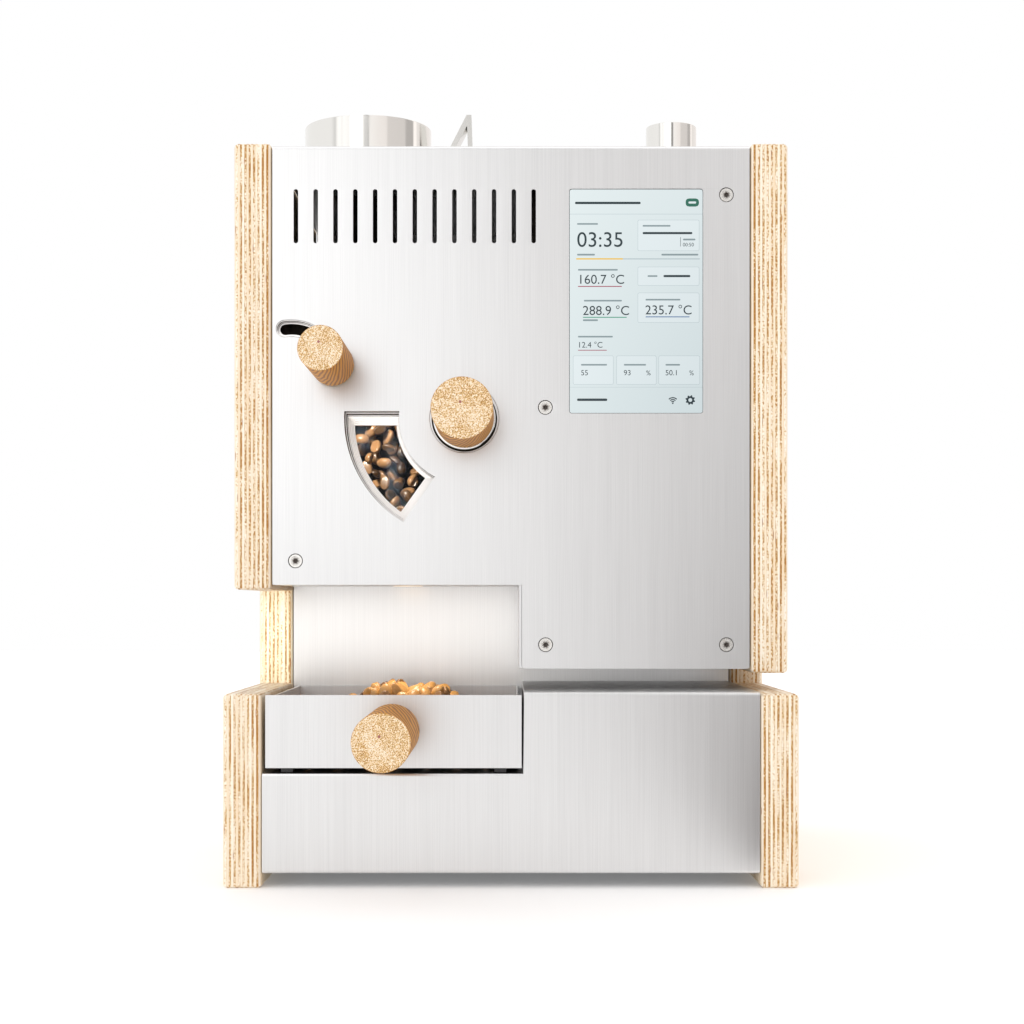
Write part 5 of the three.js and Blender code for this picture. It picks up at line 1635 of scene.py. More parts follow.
@dataclass
class FrontScrews:
    """Five countersunk screws with a hexagon socket, one shape set out by geometry nodes."""

    head: float = 4.7
    shank: float = 2.5
    length: float = 14.0
    depth: float = 2.4
    hexagon: float = 1.45
    socket: float = 1.7
    ring: float = 3.3
    ring_step: float = 0.2
    groove: float = 0.18
    rim: float = 0.35
    soft: float = 0.25
    flare: float = 1.12
    chamfer: float = 0.3
    point: float = 0.5
    socket_share: float = 1.05  # points closer to the axis than this lie in the socket, which takes the painted shade
    seed: int = 4

    def screw(self) -> Mesh:
        """Build one screw about the Y axis, its face at zero.

        Returns:
            The mesh, in metres.
        """
        six = []
        for i in range(FINE_SEGMENTS):
            angle = math.tau * i / FINE_SEGMENTS
            within = (angle % (math.pi / 3)) - math.pi / 6
            reach = self.hexagon * math.cos(math.pi / 6) / math.cos(within)
            six.append((reach * math.cos(angle), reach * math.sin(angle)))

        def level(shape: float | Outline, w: float) -> list[Vector]:
            """Give a circle or the hexagon at a depth."""
            points = circle(0, 0, shape) if isinstance(shape, float) else shape
            return [Vector((x, w, z)) for x, z in points]

        wide = [(x * self.flare, z * self.flare) for x, z in six]
        loops = [
            [Vector((0, self.length, 0))],
            level(self.shank, self.length),
            level(self.shank, self.depth),
            level(self.head, self.rim),
            level(self.head - self.soft, 0.0),
            level(self.ring, 0.0),
            level(self.ring - self.ring_step, self.groove),
            level(wide, self.groove),
            level(six, self.groove + self.chamfer),
            level(six, self.socket),
            [Vector((0, self.socket + self.point, 0))],
        ]
        mesh = mesh_of(loop_strip(loops, False))
        # The socket attribute marks where the screw material paints its shade
        inside = mesh.attributes.new("socket", "FLOAT", "POINT")
        reach = self.hexagon * self.socket_share
        for vertex, mark in zip(mesh.vertices, inside.data):
            off = math.hypot(vertex.co.x, vertex.co.z) / MM
            mark.value = float(off < reach and vertex.co.y / MM < self.length / 2)
        return mesh

    def build(self) -> None:
        """Set one screw at each place, each turned by chance."""
        spans = [Span.of(node) for node in SCREW_NODES]
        base = bpy.data.meshes.new("places")
        base.from_pydata([(s.x * MM, s.y0 * MM, s.z * MM) for s in spans], [], [])
        source = link(bpy.data.objects.new("screw", self.screw()))
        tree = GeometryTree("front_screws")
        shape = tree.size("Screw", "Object", source)
        seed = tree.size("Seed", "Int", self.seed)
        screw = tree.add("GeometryNodeObjectInfo", {"Object": shape}).outputs["Geometry"]
        turns = {"Min": ORIGIN, "Max": (0.0, 1.0, 0.0), "Seed": seed}
        spin = tree.add("FunctionNodeRandomValue", turns, data_type="FLOAT_VECTOR").outputs["Value"]
        points = tree.add("GeometryNodeMeshToPoints", {"Mesh": tree.entry.outputs[0]}).outputs[0]
        copies = {"Points": points, "Instance": screw, "Rotation": spin}
        placed = tree.add("GeometryNodeInstanceOnPoints", copies)
        mesh = tree.run(placed.outputs[0], SCREW, base)
        bpy.data.objects.remove(source)
        add_piece("front_screws", mesh, SCREW, "case", SCREW_NODES)


@dataclass
class SightWindow:
    """The stepped sight window into the drum: rings that narrow to the glass."""

    outer: float = 82.5
    inner: float = 45.0
    rise: float = 4.8
    outer_end: float = 239.6
    inner_end: float = 243.3
    glass_outer: float = 77.5
    glass_inner: float = 48.3
    glass_drop: float = 2.4
    glass_end: float = 234.3
    wall: float = 0.3
    shares: tuple[float, ...] = (0.0, 0.17, 0.34, 0.5, 0.66, 0.82, 1.0)
    top_shares: tuple[float, ...] = (0.0, 0.15, 0.36, 0.5, 0.66, 0.82, 1.0)
    depths: tuple[float, ...] = (-61.0, -54.5, -51.0, -48.0, -45.0, -42.3, -39.7)
    chamfer: float = 0.15
    lip: float = 0.1
    pane_share: tuple[float, float] = (0.9, 0.85)
    steps: int = 24

    def outline(self, side: float, top: float) -> Outline:
        """Give the opening at one step.

        Args:
            side: Share of the way from the plate's opening to the glass, round the sides.
            top: The same along the top edge.

        Returns:
            The closed outline.
        """
        drum = Span.of("drum_pulley")

        def mix(start: float, end: float, share: float) -> float:
            """Go a share of the way between two sizes."""
            return start + (end - start) * share

        outer = mix(self.outer, self.glass_outer, side)
        inner = mix(self.inner, self.glass_inner, side)
        height = mix(self.rise, -self.glass_drop, top)
        outer_end = mix(self.outer_end, self.glass_end, side)
        inner_end = mix(self.inner_end, self.glass_end, side)
        outer_start = 180 - math.degrees(math.asin(height / outer))
        inner_start = 180 - math.degrees(math.asin(height / inner))
        far = arc(drum.x, drum.z, outer, outer_start, outer_end, self.steps)
        return far + arc(drum.x, drum.z, inner, inner_end, inner_start, self.steps)

    def build(self) -> None:
        """Build the stepped frame and the pane behind it."""
        box = Span.of("window_frame")
        outside = self.outline(-self.wall, -self.wall)
        levels: list[tuple[Outline, float]] = [(outside, box.y0)]
        front, previous, previous_top = box.y0, -self.wall, -self.wall
        for side, top, back in zip(self.shares, self.top_shares, self.depths):
            shape = self.outline(side, top)
            lip_side = side - (side - previous) * self.lip
            lip = self.outline(lip_side, top - (top - previous_top) * self.lip)
            levels += [(lip, front), (shape, front + self.chamfer), (shape, back)]
            front, previous, previous_top = back, side, top
        levels.append((outside, box.y1))
        mesh = stepped(levels)
        # The walls of the front steps take the laser-cut finish's painted shade, and its faces and
        # deeper walls its painted light
        add_piece("sight_window_steps", mesh, CUT, "case", ["window_frame"])
        pane = Span.of("window_glass")
        shape = self.outline(*self.pane_share)
        glass = cut_sheet(shape, [], pane.y0, pane.y1, Plane.FRONT, 0.3)
        add_piece("sight_pane", glass, GLASS, "case", ["window_glass"])


# The display's marks in millimetres from its upper left corner: cards by their four sides,
# bars in place of words by left, right, middle and height, numbers by left, baseline and size
CARDS = (
    (46.9, 89.2, 21.1, 42.4),
    (46.9, 89.2, 53.3, 66.3),
    (46.9, 89.2, 71.1, 91.7),
    (2.5, 30.3, 114.3, 134.2),
    (32.3, 59.8, 114.3, 134.2),
    (61.2, 89.6, 114.3, 134.2),
)
LABELS: tuple[tuple[float, ...], ...] = (
    (5.3, 19.6, 23.9),
    (50.3, 69.4, 25.2),
    (78.0, 86.5, 34.6, 1.2),
    (5.3, 17.5, 45.0, 1.2),
    (63.2, 88.5, 45.0, 1.2),
    (5.9, 33.2, 55.4),
    (53.7, 60.5, 59.7),
    (10.0, 36.0, 76.6),
    (9.3, 19.6, 90.0, 1.2),
    (52.3, 76.2, 75.9),
    (5.9, 29.8, 101.3),
    (8.0, 25.8, 120.6),
    (37.4, 52.6, 120.6),
    (66.0, 76.0, 120.6),
)
HEADINGS = (
    (3.9, 48.9, 9.5, 1.6), (50.3, 84.4, 30.2, 1.5), (64.6, 83.0, 59.7, 1.5), (5.3, 26.0, 144.6, 1.7)
)
NUMBERS = (
    ("03:35", 5.0, 39.6, 14.6),
    ("00:50", 77.8, 39.3, 3.5),
    ("160.7 °C", 5.6, 65.0, 9.0),
    ("288.9 °C", 9.0, 86.4, 9.0),
    ("235.7 °C", 51.9, 86.0, 9.0),
    ("12.4 °C", 5.6, 108.8, 5.6),
    ("55", 7.8, 127.8, 5.2),
    ("93", 37.2, 127.8, 5.2),
    ("%", 52.6, 127.8, 4.8),
    ("50.1", 65.8, 127.8, 5.2),
    ("%", 82.2, 127.8, 4.8),
)


@dataclass
class Display:
    """The lit display: cards, numbers and bars, with plain bars in place of words."""

    corner: float = 2.0
    border: float = 0.2
    layer: float = 0.03
    first: float = 0.3
    weld: float = 0.0001
    edge: float = 0.25

    def front(self, level: int) -> float:
        """Give the place of a layer."""
        return Span.of("display_glass").y0 + self.first - self.layer * level

    def flat(self, shapes: Sequence[Outline], level: int) -> Mesh:
        """Cut thin flat marks that lie on the display.

        Args:
            shapes: Outlines in millimetres from the panel's upper left corner.
            level: Which layer they lie in.

        Returns:
            One mesh for all of them.
        """
        glass, front = Span.of("display_glass"), self.front(level)
        meshes = []
        for shape in shapes:
            placed = [(glass.x0 + u, glass.z1 - v) for u, v in shape]
            meshes.append(cut_sheet(placed, [], front, front + self.layer, Plane.FRONT, 0.0, 0))
        return joined(meshes)

    def words(self, texts: Sequence[tuple[str, float, float, float]], level: int) -> Mesh:
        """Set numbers and units.

        Args:
            texts: Each text with its left edge, baseline and size.
            level: Which layer they lie in.

        Returns:
            One mesh for all of them.
        """
        glass, middle = Span.of("display_glass"), self.front(level) + self.layer / 2
        meshes = []
        for text, u, v, size in texts:
            letters = bpy.data.curves.new("letters", "FONT")
            letters.body = text
            letters.size = size
            letters.extrude = self.layer / 2
            mesh = plain_mesh(link(bpy.data.objects.new("letters", letters)))
            start = Vector((glass.x0 + u, middle, glass.z1 - v))

            def place(co: Vector, corner: Vector = start) -> Vector:
                """Move a point of the letters to the panel."""
                return corner + Vector((co.x, co.z, co.y))

            meshes.append(moved(mesh, place, self.weld))
        return joined(meshes)

    def bar(self, left: float, right: float, middle: float, height: float = 1.1) -> Outline:
        """Give a plain bar with round ends."""
        corners = rectangle(left, right, middle - height / 2, middle + height / 2)
        return rounded(corners, height * 0.45, 3)

    def gear(self, u: float, v: float, radius: float) -> Outline:
        """Give a small cogwheel outline.

        Args:
            u: Its middle across the display.
            v: Its middle up the display.
            radius: Its reach.

        Returns:
            The outline.
        """
        count, points = 32, []
        for i in range(count):
            reach = radius if i % 4 in (1, 2) else radius * 0.76
            angle = math.tau * i / count
            points.append((u + reach * math.cos(angle), v + reach * math.sin(angle)))
        return points

    def marks(self) -> list[Outline]:
        """Give the wireless mark and the cogwheel.

        Returns:
            Their outlines.
        """
        u, v = 71.0, 147.0
        waves = []
        for reach in (1.6, 2.9, 4.2):
            wave = arc(u, v, reach, -135, -45, 10) + arc(u, v, reach - 0.75, -45, -135, 10)
            waves.append(wave)
        return [*waves, circle(u, v, 0.55, 12), self.gear(83.0, 144.8, 3.4)]

    def build(self) -> None:
        """Build the panel and its layers."""
        glass = Span.of("display_glass")
        width, height = glass.x1 - glass.x0, glass.z1 - glass.z0
        outline = rounded(rectangle(glass.x0, glass.x1, glass.z0, glass.z1), self.corner)
        border = cut_sheet(outline, [], glass.y0 + self.first, glass.y1, Plane.FRONT, 0.2)
        add_piece("display_border", border, BLACK_ABS, "case", ["display_glass"])
        b = self.border
        ground = rounded(rectangle(b, width - b, b, height - b), self.corner - b)
        header = [rectangle(b, width - b, 17.0, 17.3), rectangle(b, width - b, 135.9, 136.1)]
        edges, faces = [], []
        for left, right, low, high in CARDS:
            edges.append(rounded(rectangle(left, right, low, high), 1.2, 3))
            e = self.edge
            inner = rectangle(left + e, right - e, low + e, high - e)
            faces.append(rounded(inner, 1.0, 3))
        headings = [self.bar(*row) for row in HEADINGS]
        headings += [rectangle(76.2, 76.5, 33.0, 39.4), *self.marks()]
        lines: list[tuple[str, list[tuple[float, ...]], int, ScreenInk]] = [
            ("display_progress", [(4.6, 36.8, 47.9, 0.9)], 4, YELLOW),
            ("display_line_red", [(5.9, 36.0, 66.8, 0.6), (5.9, 25.7, 110.6, 0.5)], 4, CRIMSON),
            ("display_line_green", [(9.3, 39.4, 88.0, 0.6)], 4, GREEN),
            ("display_line_blue", [(52.3, 82.5, 87.7, 0.6)], 4, BLUE),
            ("display_pill", [(79.8, 89.0, 9.2, 5.6)], 4, PILL),
            ("display_pill_mark", [(81.8, 87.0, 9.2, 1.4)], 5, CARD),
        ]
        rules = [*edges, *header, self.bar(4.6, 89.6, 47.9, 0.8)]
        layers: list[tuple[str, Mesh, ScreenInk]] = [
            ("display_ground", self.flat([ground], 1), SCREEN),
            ("display_rules", self.flat(rules, 2), CARD_EDGE),
            ("display_cards", self.flat(faces, 3), CARD),
            ("display_labels", self.flat([self.bar(*row) for row in LABELS], 4), LABEL),
            ("display_headings", self.flat(headings, 4), INK),
            ("display_numbers", self.words(NUMBERS, 4), INK),
            ("display_hub", self.flat([circle(83.0, 144.8, 1.3, 16)], 5), SCREEN),
        ]
        for name, bars, level, ink in lines:
            layers.append((name, self.flat([self.bar(*bar) for bar in bars], level), ink))
        for name, mesh, ink in layers:
            add_piece(name, mesh, ink, "case")


@dataclass
class Knob:
    """A turned oak knob with its end grain to the front."""

    node: str
    body: str
    bore: float
    bore_depth: float = 14.0
    edge: float = 0.9
    edge_steps: int = 4
    over: float = 0.05  # the CAD circle has flats, so its box is a little small

    def build(self) -> None:
        """Turn the knob."""
        box = Span.of(self.node)
        radius = (box.z1 - box.z0) / 2 + self.over
        bottom = box.y1 - self.bore_depth
        profile = [
            (0.0, box.y0),
            *arc(radius - self.edge, box.y0 + self.edge, self.edge, -90, 0, self.edge_steps),
            (radius, box.y1 - self.edge),
            (radius - self.edge, box.y1),
            (self.bore, box.y1),
            (self.bore, bottom),
            (0.0, bottom),
        ]
        mesh = turned(profile, box.x, box.z)
        finish = Oak(f"turned_oak_{self.node}", box.x, box.z)
        add_piece(f"{self.node}_turned", mesh, finish, self.body, [self.node])


@dataclass
class DischargeLever:
    """The lever's knob and the stepped rim that lines its curved slot."""

    outer: float = 5.55
    halves: tuple[float, ...] = (5.2, 4.6, 3.7)
    depths: tuple[float, ...] = (-68.6, -65.6, -64.0, -62.6)
    flange: float = 1.7
    flange_sheet: float = 0.7

    def build(self) -> None:
        """Build the rim and the knob."""
        plate, back = FrontPlate(), Span.of("lever_slot_rim").y1
        wide, face = self.outer + self.flange, back - self.flange_sheet
        levels = [(self.outer, back), (wide, back), (wide, face), (self.outer, face)]
        levels.append((self.outer, self.depths[0]))
        for half, front, behind in zip(self.halves, self.depths, self.depths[1:]):
            levels += [(half, front), (half, behind)]
        levels.append((self.outer, self.depths[-1]))
        mesh = stepped([(lever_slot(plate, half), w) for half, w in levels])
        # Its front walls lie ahead of the laser-cut finish's limit and take its painted shade
        add_piece("lever_slot_lip", mesh, CUT, "case", ["lever_slot_rim"])
        Knob("lever_knob", "discharge_lever", 3.5).build()


@dataclass
class Trier:
    """The sample scoop's knob, its collar, and the rim and dark cup that it seats in."""

    rim: float = 23.7
    mouth: float = 22.4
    mouth_drop: float = 0.65
    cup_wall: float = 22.3
    cup: float = 11.0
    rim_depth: float = 1.6
    tube: float = 12.6
    tube_wall: float = 1.7
    collar_bore: float = 12.3
    gap: float = 0.1
    soft: float = 0.15

    def build(self) -> None:
        """Turn the rim, the cup, the collar and the knob."""
        guide, drum, plate = Span.of("trier_guide"), Span.of("drum_pulley"), Span.of("front_plate")
        front = plate.y0 - self.gap
        behind = front + self.rim_depth
        low = drum.z - self.mouth_drop
        levels = [
            (self.mouth, behind, low),
            (self.mouth, front + 0.2, low),
            (self.mouth + 0.1, front, low),
            (self.rim - self.soft, front, drum.z),
            (self.rim, front + self.soft, drum.z),
            (self.rim, behind, drum.z),
        ]
        rings = [(circle(drum.x, z, reach, ROUND_SEGMENTS), w) for reach, w, z in levels]
        add_piece("trier_rim", stepped(rings), BRUSHED, "case")
        floor, outside = guide.y0 + self.cup, self.tube + self.tube_wall
        cup = [
            (self.cup_wall, behind + self.gap),
            (self.rim, behind + self.gap),
            (self.rim, floor + self.tube_wall),
            (outside, floor + self.tube_wall),
            (outside, guide.y1),
            (self.tube, guide.y1),
            (self.tube, floor),
            (self.cup_wall, floor),
        ]
        pressed = turned(cup, drum.x, drum.z, closed=True)
        add_piece("trier_cup", pressed, BLACK_ZINC, "case", ["trier_guide"])
        ring = Span.of("trier_collar")
        outer = (ring.x1 - ring.x0) / 2
        collar = [
            (self.collar_bore, ring.y0),
            (outer - 0.9, ring.y0),
            (outer - 0.25, ring.y0 + 0.3),
            (outer, ring.y0 + 0.9),
            (outer, ring.y1),
            (self.collar_bore, ring.y1),
        ]
        shaped, nodes = turned(collar, drum.x, drum.z, closed=True), ["trier_collar"]
        add_piece("trier_collar_turned", shaped, POLISHED, "trier_slide", nodes)
        Knob("trier_knob", "trier", 7.3).build()


@dataclass
class Hopper:
    """The bean funnel and the gate's folded handle on the top plate."""

    radius: float = 46.0
    wall: float = 1.5
    seat: float = 4.3
    seat_gap: float = 0.3
    throat: float = 14.0
    throat_wall: float = 1.4
    cone: float = 18.0
    sheet: float = 2.0
    lip: float = 0.6
    gate_edge: float = 0.35
    segments: int = 128

    def build(self) -> None:
        """Turn the funnel and soften the gate."""
        box, plate = Span.of("funnel"), Span.of("front_plate")
        seat, neck = plate.z1 + self.seat_gap, plate.z1 - self.sheet
        inner = self.radius - self.wall
        profile = [
            (self.throat, neck),
            (self.throat + self.throat_wall, neck),
            (self.radius - self.seat, seat),
            (self.radius, seat),
            (self.radius, box.z1 - self.lip),
            (self.radius - 0.2, box.z1 - 0.15),
            (self.radius - self.wall / 2, box.z1),
            (inner + 0.2, box.z1 - 0.15),
            (inner, box.z1 - self.lip),
            (inner, neck + self.cone + 1.5),
            (inner - 1.2, neck + self.cone - 0.6),
            (self.throat, neck + self.wall),
        ]
        mesh = turned(profile, box.x, box.y, Plane.TOP, self.segments, True)
        add_piece("funnel_spun", mesh, POLISHED, "case", ["funnel"])
        gate = softened("hopper_gate", self.gate_edge)
        nodes = ["hopper_gate"]
        add_piece("gate_and_handle", gate, POLISHED, "hopper_gate", nodes)


@dataclass
class ExhaustPipe:
    """The exhaust pipe, bent once and leading from the drum's housing through the top."""

    radius: float = 19.0
    wall: float = 1.5
    angle: float = 20.0
    bend: float = 32.0
    housing: float = 94.3
    bend_steps: int = 14
    lip: float = 0.35
    lip_drop: float = 0.4

    def line(self) -> list[Vector]:
        """Give the bent middle line in X and Z, from the open end down.

        Returns:
            The points of the line.
        """
        box, drum = Span.of("exhaust_pipe"), Span.of("drum_pulley")
        x, lean = box.x1 - PIPE_REACH, math.radians(self.angle)
        end = Vector((drum.x, drum.z)) + self.housing * Vector((math.cos(lean), math.sin(lean)))
        knee = Vector((x, end.y + (x - end.x) * math.tan(lean)))
        top = Vector((x, box.z1))
        start, stop = knee + Vector((0, self.bend)), knee + (end - knee).normalized() * self.bend
        curve = bend(start, knee, stop, self.bend_steps)
        return [top, top - Vector((0, self.lip_drop)), *curve, end]

    def build(self) -> None:
        """Sweep a ring along the bent line."""
        line, y = self.line(), Span.of("exhaust_pipe").y
        last = len(line) - 1

        def ring(index: int, radius: float) -> list[Vector]:
            """Give one ring of the pipe, square to the line.

            Args:
                index: The point of the line.
                radius: The ring's radius.

            Returns:
                The ring's points.
            """
            here, before, after = line[index], line[max(index - 1, 0)], line[min(index + 1, last)]
            along = (after - before).normalized()
            points = []
            for u, v in circle(0, 0, radius, ROUND_SEGMENTS):
                points.append(Vector((here.x - along.y * u, y + v, here.y + along.x * u)))
            return points

        inner = self.radius - self.wall
        loops = [ring(0, self.radius - self.lip)]
        loops += [ring(i, self.radius) for i in range(1, last + 1)]
        loops += [ring(i, inner) for i in range(last, 0, -1)]
        loops.append(ring(0, inner + self.lip))
        mesh = mesh_of(loop_strip(loops, True))
        add_piece("exhaust_pipe_bent", mesh, POLISHED, "case", ["exhaust_pipe"])


def bean_mesh(length: float, width: float, height: float) -> Mesh:
    """Build one coffee bean, round on top with a creased flat side.

    Args:
        length: From end to end, in millimetres.
        width: Across.
        height: From the crease side to the back.

    Returns:
        The mesh, with about a hundred faces.
    """
    around, along = 12, 8
    loops: list[list[Vector]] = [[Vector((-length / 2, 0, 0))]]
    for i in range(1, along):
        angle = math.pi * i / along
        x, reach = -length / 2 * math.cos(angle), math.sin(angle) ** 0.8
        loop = []
        for j in range(around):
            turn = 2 * math.pi * j / around - math.pi / 2
            y, z = width / 2 * math.cos(turn) * reach, height * 0.62 * math.sin(turn) * reach
            if z < 0:
                z *= 0.55
            if j == 0:
                z += height * 0.2 * reach
            loop.append(Vector((x, y, z)))
        loops.append(loop)
    loops.append([Vector((length / 2, 0, 0))])
    return mesh_of(loop_strip(loops, False))


@dataclass
class BeanHeap:
    """Loose beans scattered by geometry nodes over a hidden ground."""

    name: str
    finish: CoffeeBeans
    body: str
    slot: str
    spacing: float
    seed: int
    length: float = 10.5
    width: float = 7.6
    height: float = 5.6
    smallest: float = 0.85
    largest: float = 1.12
    density: float = 90000.0  # more points in a square metre than the spacing leaves
    sharp: float = 75.0

    def build(self, ground: Mesh) -> None:
        """Scatter the beans.

        Args:
            ground: The surface that the beans lie on, in metres.
        """
        shape = bean_mesh(self.length, self.width, self.height)
        source = link(bpy.data.objects.new("bean", shape))
        tree = GeometryTree(f"{self.name}_scatter")
        bean = tree.size("Bean", "Object", source)
        spacing = tree.size("Spacing", "Float", self.spacing * MM)
        seed = tree.size("Seed", "Int", self.seed)
        low = tree.size("Smallest", "Float", self.smallest)
        high = tree.size("Largest", "Float", self.largest)
        ground_points = {
            "Mesh": tree.entry.outputs[0],
            "Distance Min": spacing,
            "Density Max": self.density,
            "Seed": seed,
        }
        kind = "GeometryNodeDistributePointsOnFaces"
        points = tree.add(kind, ground_points, distribute_method="POISSON").outputs[0]
        info = tree.add("GeometryNodeObjectInfo", {"Object": bean})
        turns = {"Min": ORIGIN, "Max": (math.tau,) * 3, "Seed": seed}
        turn = tree.add("FunctionNodeRandomValue", turns, data_type="FLOAT_VECTOR")
        sizes = {2: low, 3: high, "Seed": seed}
        size = tree.add("FunctionNodeRandomValue", sizes, data_type="FLOAT")
        tones = {2: 0.0, 3: 1.0, "Seed": seed}
        tone = tree.add("FunctionNodeRandomValue", tones, data_type="FLOAT")
        copies = {
            "Points": points,
            "Instance": info.outputs["Geometry"],
            "Rotation": turn.outputs["Value"],
            "Scale": size.outputs[1],
        }
        placed = tree.add("GeometryNodeInstanceOnPoints", copies).outputs[0]
        marked = tree.add(
            "GeometryNodeStoreNamedAttribute",
            {"Geometry": placed, "Name": "bean_tone", "Value": tone.outputs[1]},
            data_type="FLOAT",
            domain="INSTANCE",
        )
        mesh = tree.run(marked.outputs[0], self.finish, ground)
        bpy.data.objects.remove(source)
        add_piece(self.name, mesh, self.finish, self.body, sharp=self.sharp)


@dataclass
class DrumBeans:
    """The roasting beans that fill the lower left of the drum behind the sight glass."""

    inner: float = 30.0
    outer: float = 77.5
    start: float = 168.0
    end: float = 300.0
    first_y: float = -23.0
    pitch: float = 6.5
    rows: int = 3
    cells: int = 24

    def build(self) -> None:
        """Scatter beans on upright sectors, one behind the other."""
        depths = [self.first_y + row * self.pitch for row in range(self.rows)]
        heap = BeanHeap("roasting_beans", DARK_ROAST, "case", "dark_steel", 9.2, 11)
        heap.build(joined([self.sector(depth) for depth in depths]))

    def sector(self, depth: float) -> Mesh:
        """Build one flat sector at a depth.

        Args:
            depth: Its place in Y.

        Returns:
            The mesh, in metres.
        """
        drum = Span.of("drum_pulley")

        def fill(work: WorkMesh) -> None:
            """Add its points and faces.

            Args:
                work: The mesh being built.
            """
            sides = []
            for radius in (self.inner, self.outer):
                edge = arc(drum.x, drum.z, radius, self.start, self.end, self.cells)
                sides.append([work.verts.new((x, depth, z)) for x, z in edge])
            near, far = sides
            for i in range(self.cells):
                work.faces.new([near[i], near[i + 1], far[i + 1], far[i]])

        return mesh_of(fill)


@dataclass
class CoolingTray:
    """The pull-out tray with its front, knob and a heap of cooling beans."""

    middle_x: float = -79.0
    peaks_x: tuple[float, ...] = (-84.0, -52.0)
    peak_y: float = -45.0
    wide_x: float = 62.0
    spread_x: float = 9.0
    flat_share: float = 0.82
    spread_y: float = 62.0
    bed: float = 88.0
    peak: float = 131.0
    drops: tuple[float, ...] = (0.0, 6.0)
    margin: float = 9.0
    cells: int = 40
    front_edge: float = 0.3
    body_edge: float = 0.25
    knob_bore: float = 3.3

    def build(self) -> None:
        """Build the sheet parts, the knob and the beans."""
        steel, front = "brushed_steel", softened("tray_front", self.front_edge)
        add_piece("tray_front_panel", front, BRUSHED, "tray", ["tray_front"])
        whole, bottom = softened("tray_body", self.body_edge), Span.of("tray_front").z0
        sheet = cut_level(whole, bottom, True)
        add_piece("tray_box", sheet, BRUSHED, "tray", ["tray_body"])
        # The tray body below the front's bottom edge is dressed black as painted shade of the gap
        # under the tray
        shaded_runners = cut_level(whole, bottom, False)
        add_piece("tray_glide_strips", shaded_runners, BLACK_ABS, "tray")
        Knob("tray_knob", "tray", self.knob_bore).build()
        heap = BeanHeap("cooling_beans", LIGHT_ROAST, "tray", steel, 8.2, 5, 12.6, 9.2, 7.2)
        heap.build(joined([self.ground(drop) for drop in self.drops]))

    def ground(self, drop: float) -> Mesh:
        """Build one layer that the beans lie on.

        Args:
            drop: How far it lies below the heap's top.

        Returns:
            The mesh, in metres.
        """
        box, count = Span.of("tray_body"), self.cells
        width = box.x1 - box.x0 - 2 * self.margin
        length = box.y1 - box.y0 - 2 * self.margin

        def height(x: float, y: float) -> float:
            """Give the layer's height at a place.

            Args:
                x: The place across the tray.
                y: The place along it.

            Returns:
                The height, in millimetres.
            """
            along = ((y - self.peak_y) / self.spread_y) ** 2
            wide = math.exp(-(((x - self.middle_x) / self.wide_x) ** 2 + along) / 2)
            humps = [math.exp(-(((x - p) / self.spread_x) ** 2 + along) / 2) for p in self.peaks_x]
            share = self.flat_share * wide + (1 - self.flat_share) * sum(humps)
            return self.bed + (self.peak - self.bed) * share - drop

        def layer(work: WorkMesh) -> None:
            """Add the layer's grid.

            Args:
                work: The mesh being built.
            """
            grid = []
            for i in range(count + 1):
                x = box.x0 + self.margin + width * i / count
                row = [box.y0 + self.margin + length * j / count for j in range(count + 1)]
                grid.append([work.verts.new((x, y, height(x, y))) for y in row])
            for first, second in zip(grid, grid[1:]):
                for j in range(count):
                    work.faces.new([first[j], second[j], second[j + 1], first[j + 1]])

        return mesh_of(layer)


@dataclass
class RearCover:
    """The rear cover, its vent slots and inlet hole cut by geometry nodes."""

    columns: int = 11
    pitch: float = 20.0
    width: float = 4.0
    height: float = 58.0
    bottoms: tuple[float, ...] = (250.0, 320.0)
    inlet_lip: float = 4.7

    def build(self) -> None:
        """Fill the outline with its holes, then give it its thickness."""
        box, inlet = Span.of("rear_cover"), Span.of("power_inlet")
        lip = self.inlet_lip
        hole = rectangle(inlet.x0 + lip, inlet.x1 - lip, inlet.z0 + lip, inlet.z1 - lip)
        loops = [rounded(rectangle(box.x0, box.x1, box.z0, box.z1), 1.5), rounded(hole, 0.6)]
        first = -(self.columns - 1) * self.pitch / 2
        for low in self.bottoms:
            for i in range(self.columns):
                loops.append(slot_outline(first + i * self.pitch, low, self.width, self.height))
        base = bpy.data.meshes.new("edges")
        points, edges = [], []
        for loop in loops:
            offset, count = len(points), len(loop)
            points += [(u * MM, v * MM, 0.0) for u, v in loop]
            edges += [(offset + i, offset + (i + 1) % count) for i in range(count)]
        base.from_pydata(points, edges, [])
        tree = GeometryTree("rear_cover_vents")
        thickness = tree.size("Thickness", "Float", (box.y1 - box.y0) * MM)
        curves = tree.add("GeometryNodeMeshToCurve", {0: tree.entry.outputs[0]})
        filled = tree.add("GeometryNodeFillCurve", {0: curves.outputs[0]}).outputs[0]
        inputs = {"Mesh": filled, "Offset Scale": thickness, "Individual": False}
        solid = tree.add("GeometryNodeExtrudeMesh", inputs)
        cap = tree.add("GeometryNodeFlipFaces", {0: filled})
        whole = tree.add("GeometryNodeJoinGeometry")
        for part in (solid, cap):
            tree.tree.links.new(part.outputs[0], whole.inputs[0])
        flat = tree.run(whole.outputs[0], BRUSHED, base)

        def stand(co: Vector) -> Triple:
            """Stand a point of the flat cover up at the back."""
            return co.x / MM, box.y1 - abs(co.z) / MM, co.y / MM

        mesh, nodes = moved(flat, stand), ["rear_cover"]
        add_piece("rear_cover_vented", mesh, BRUSHED, "case", nodes)


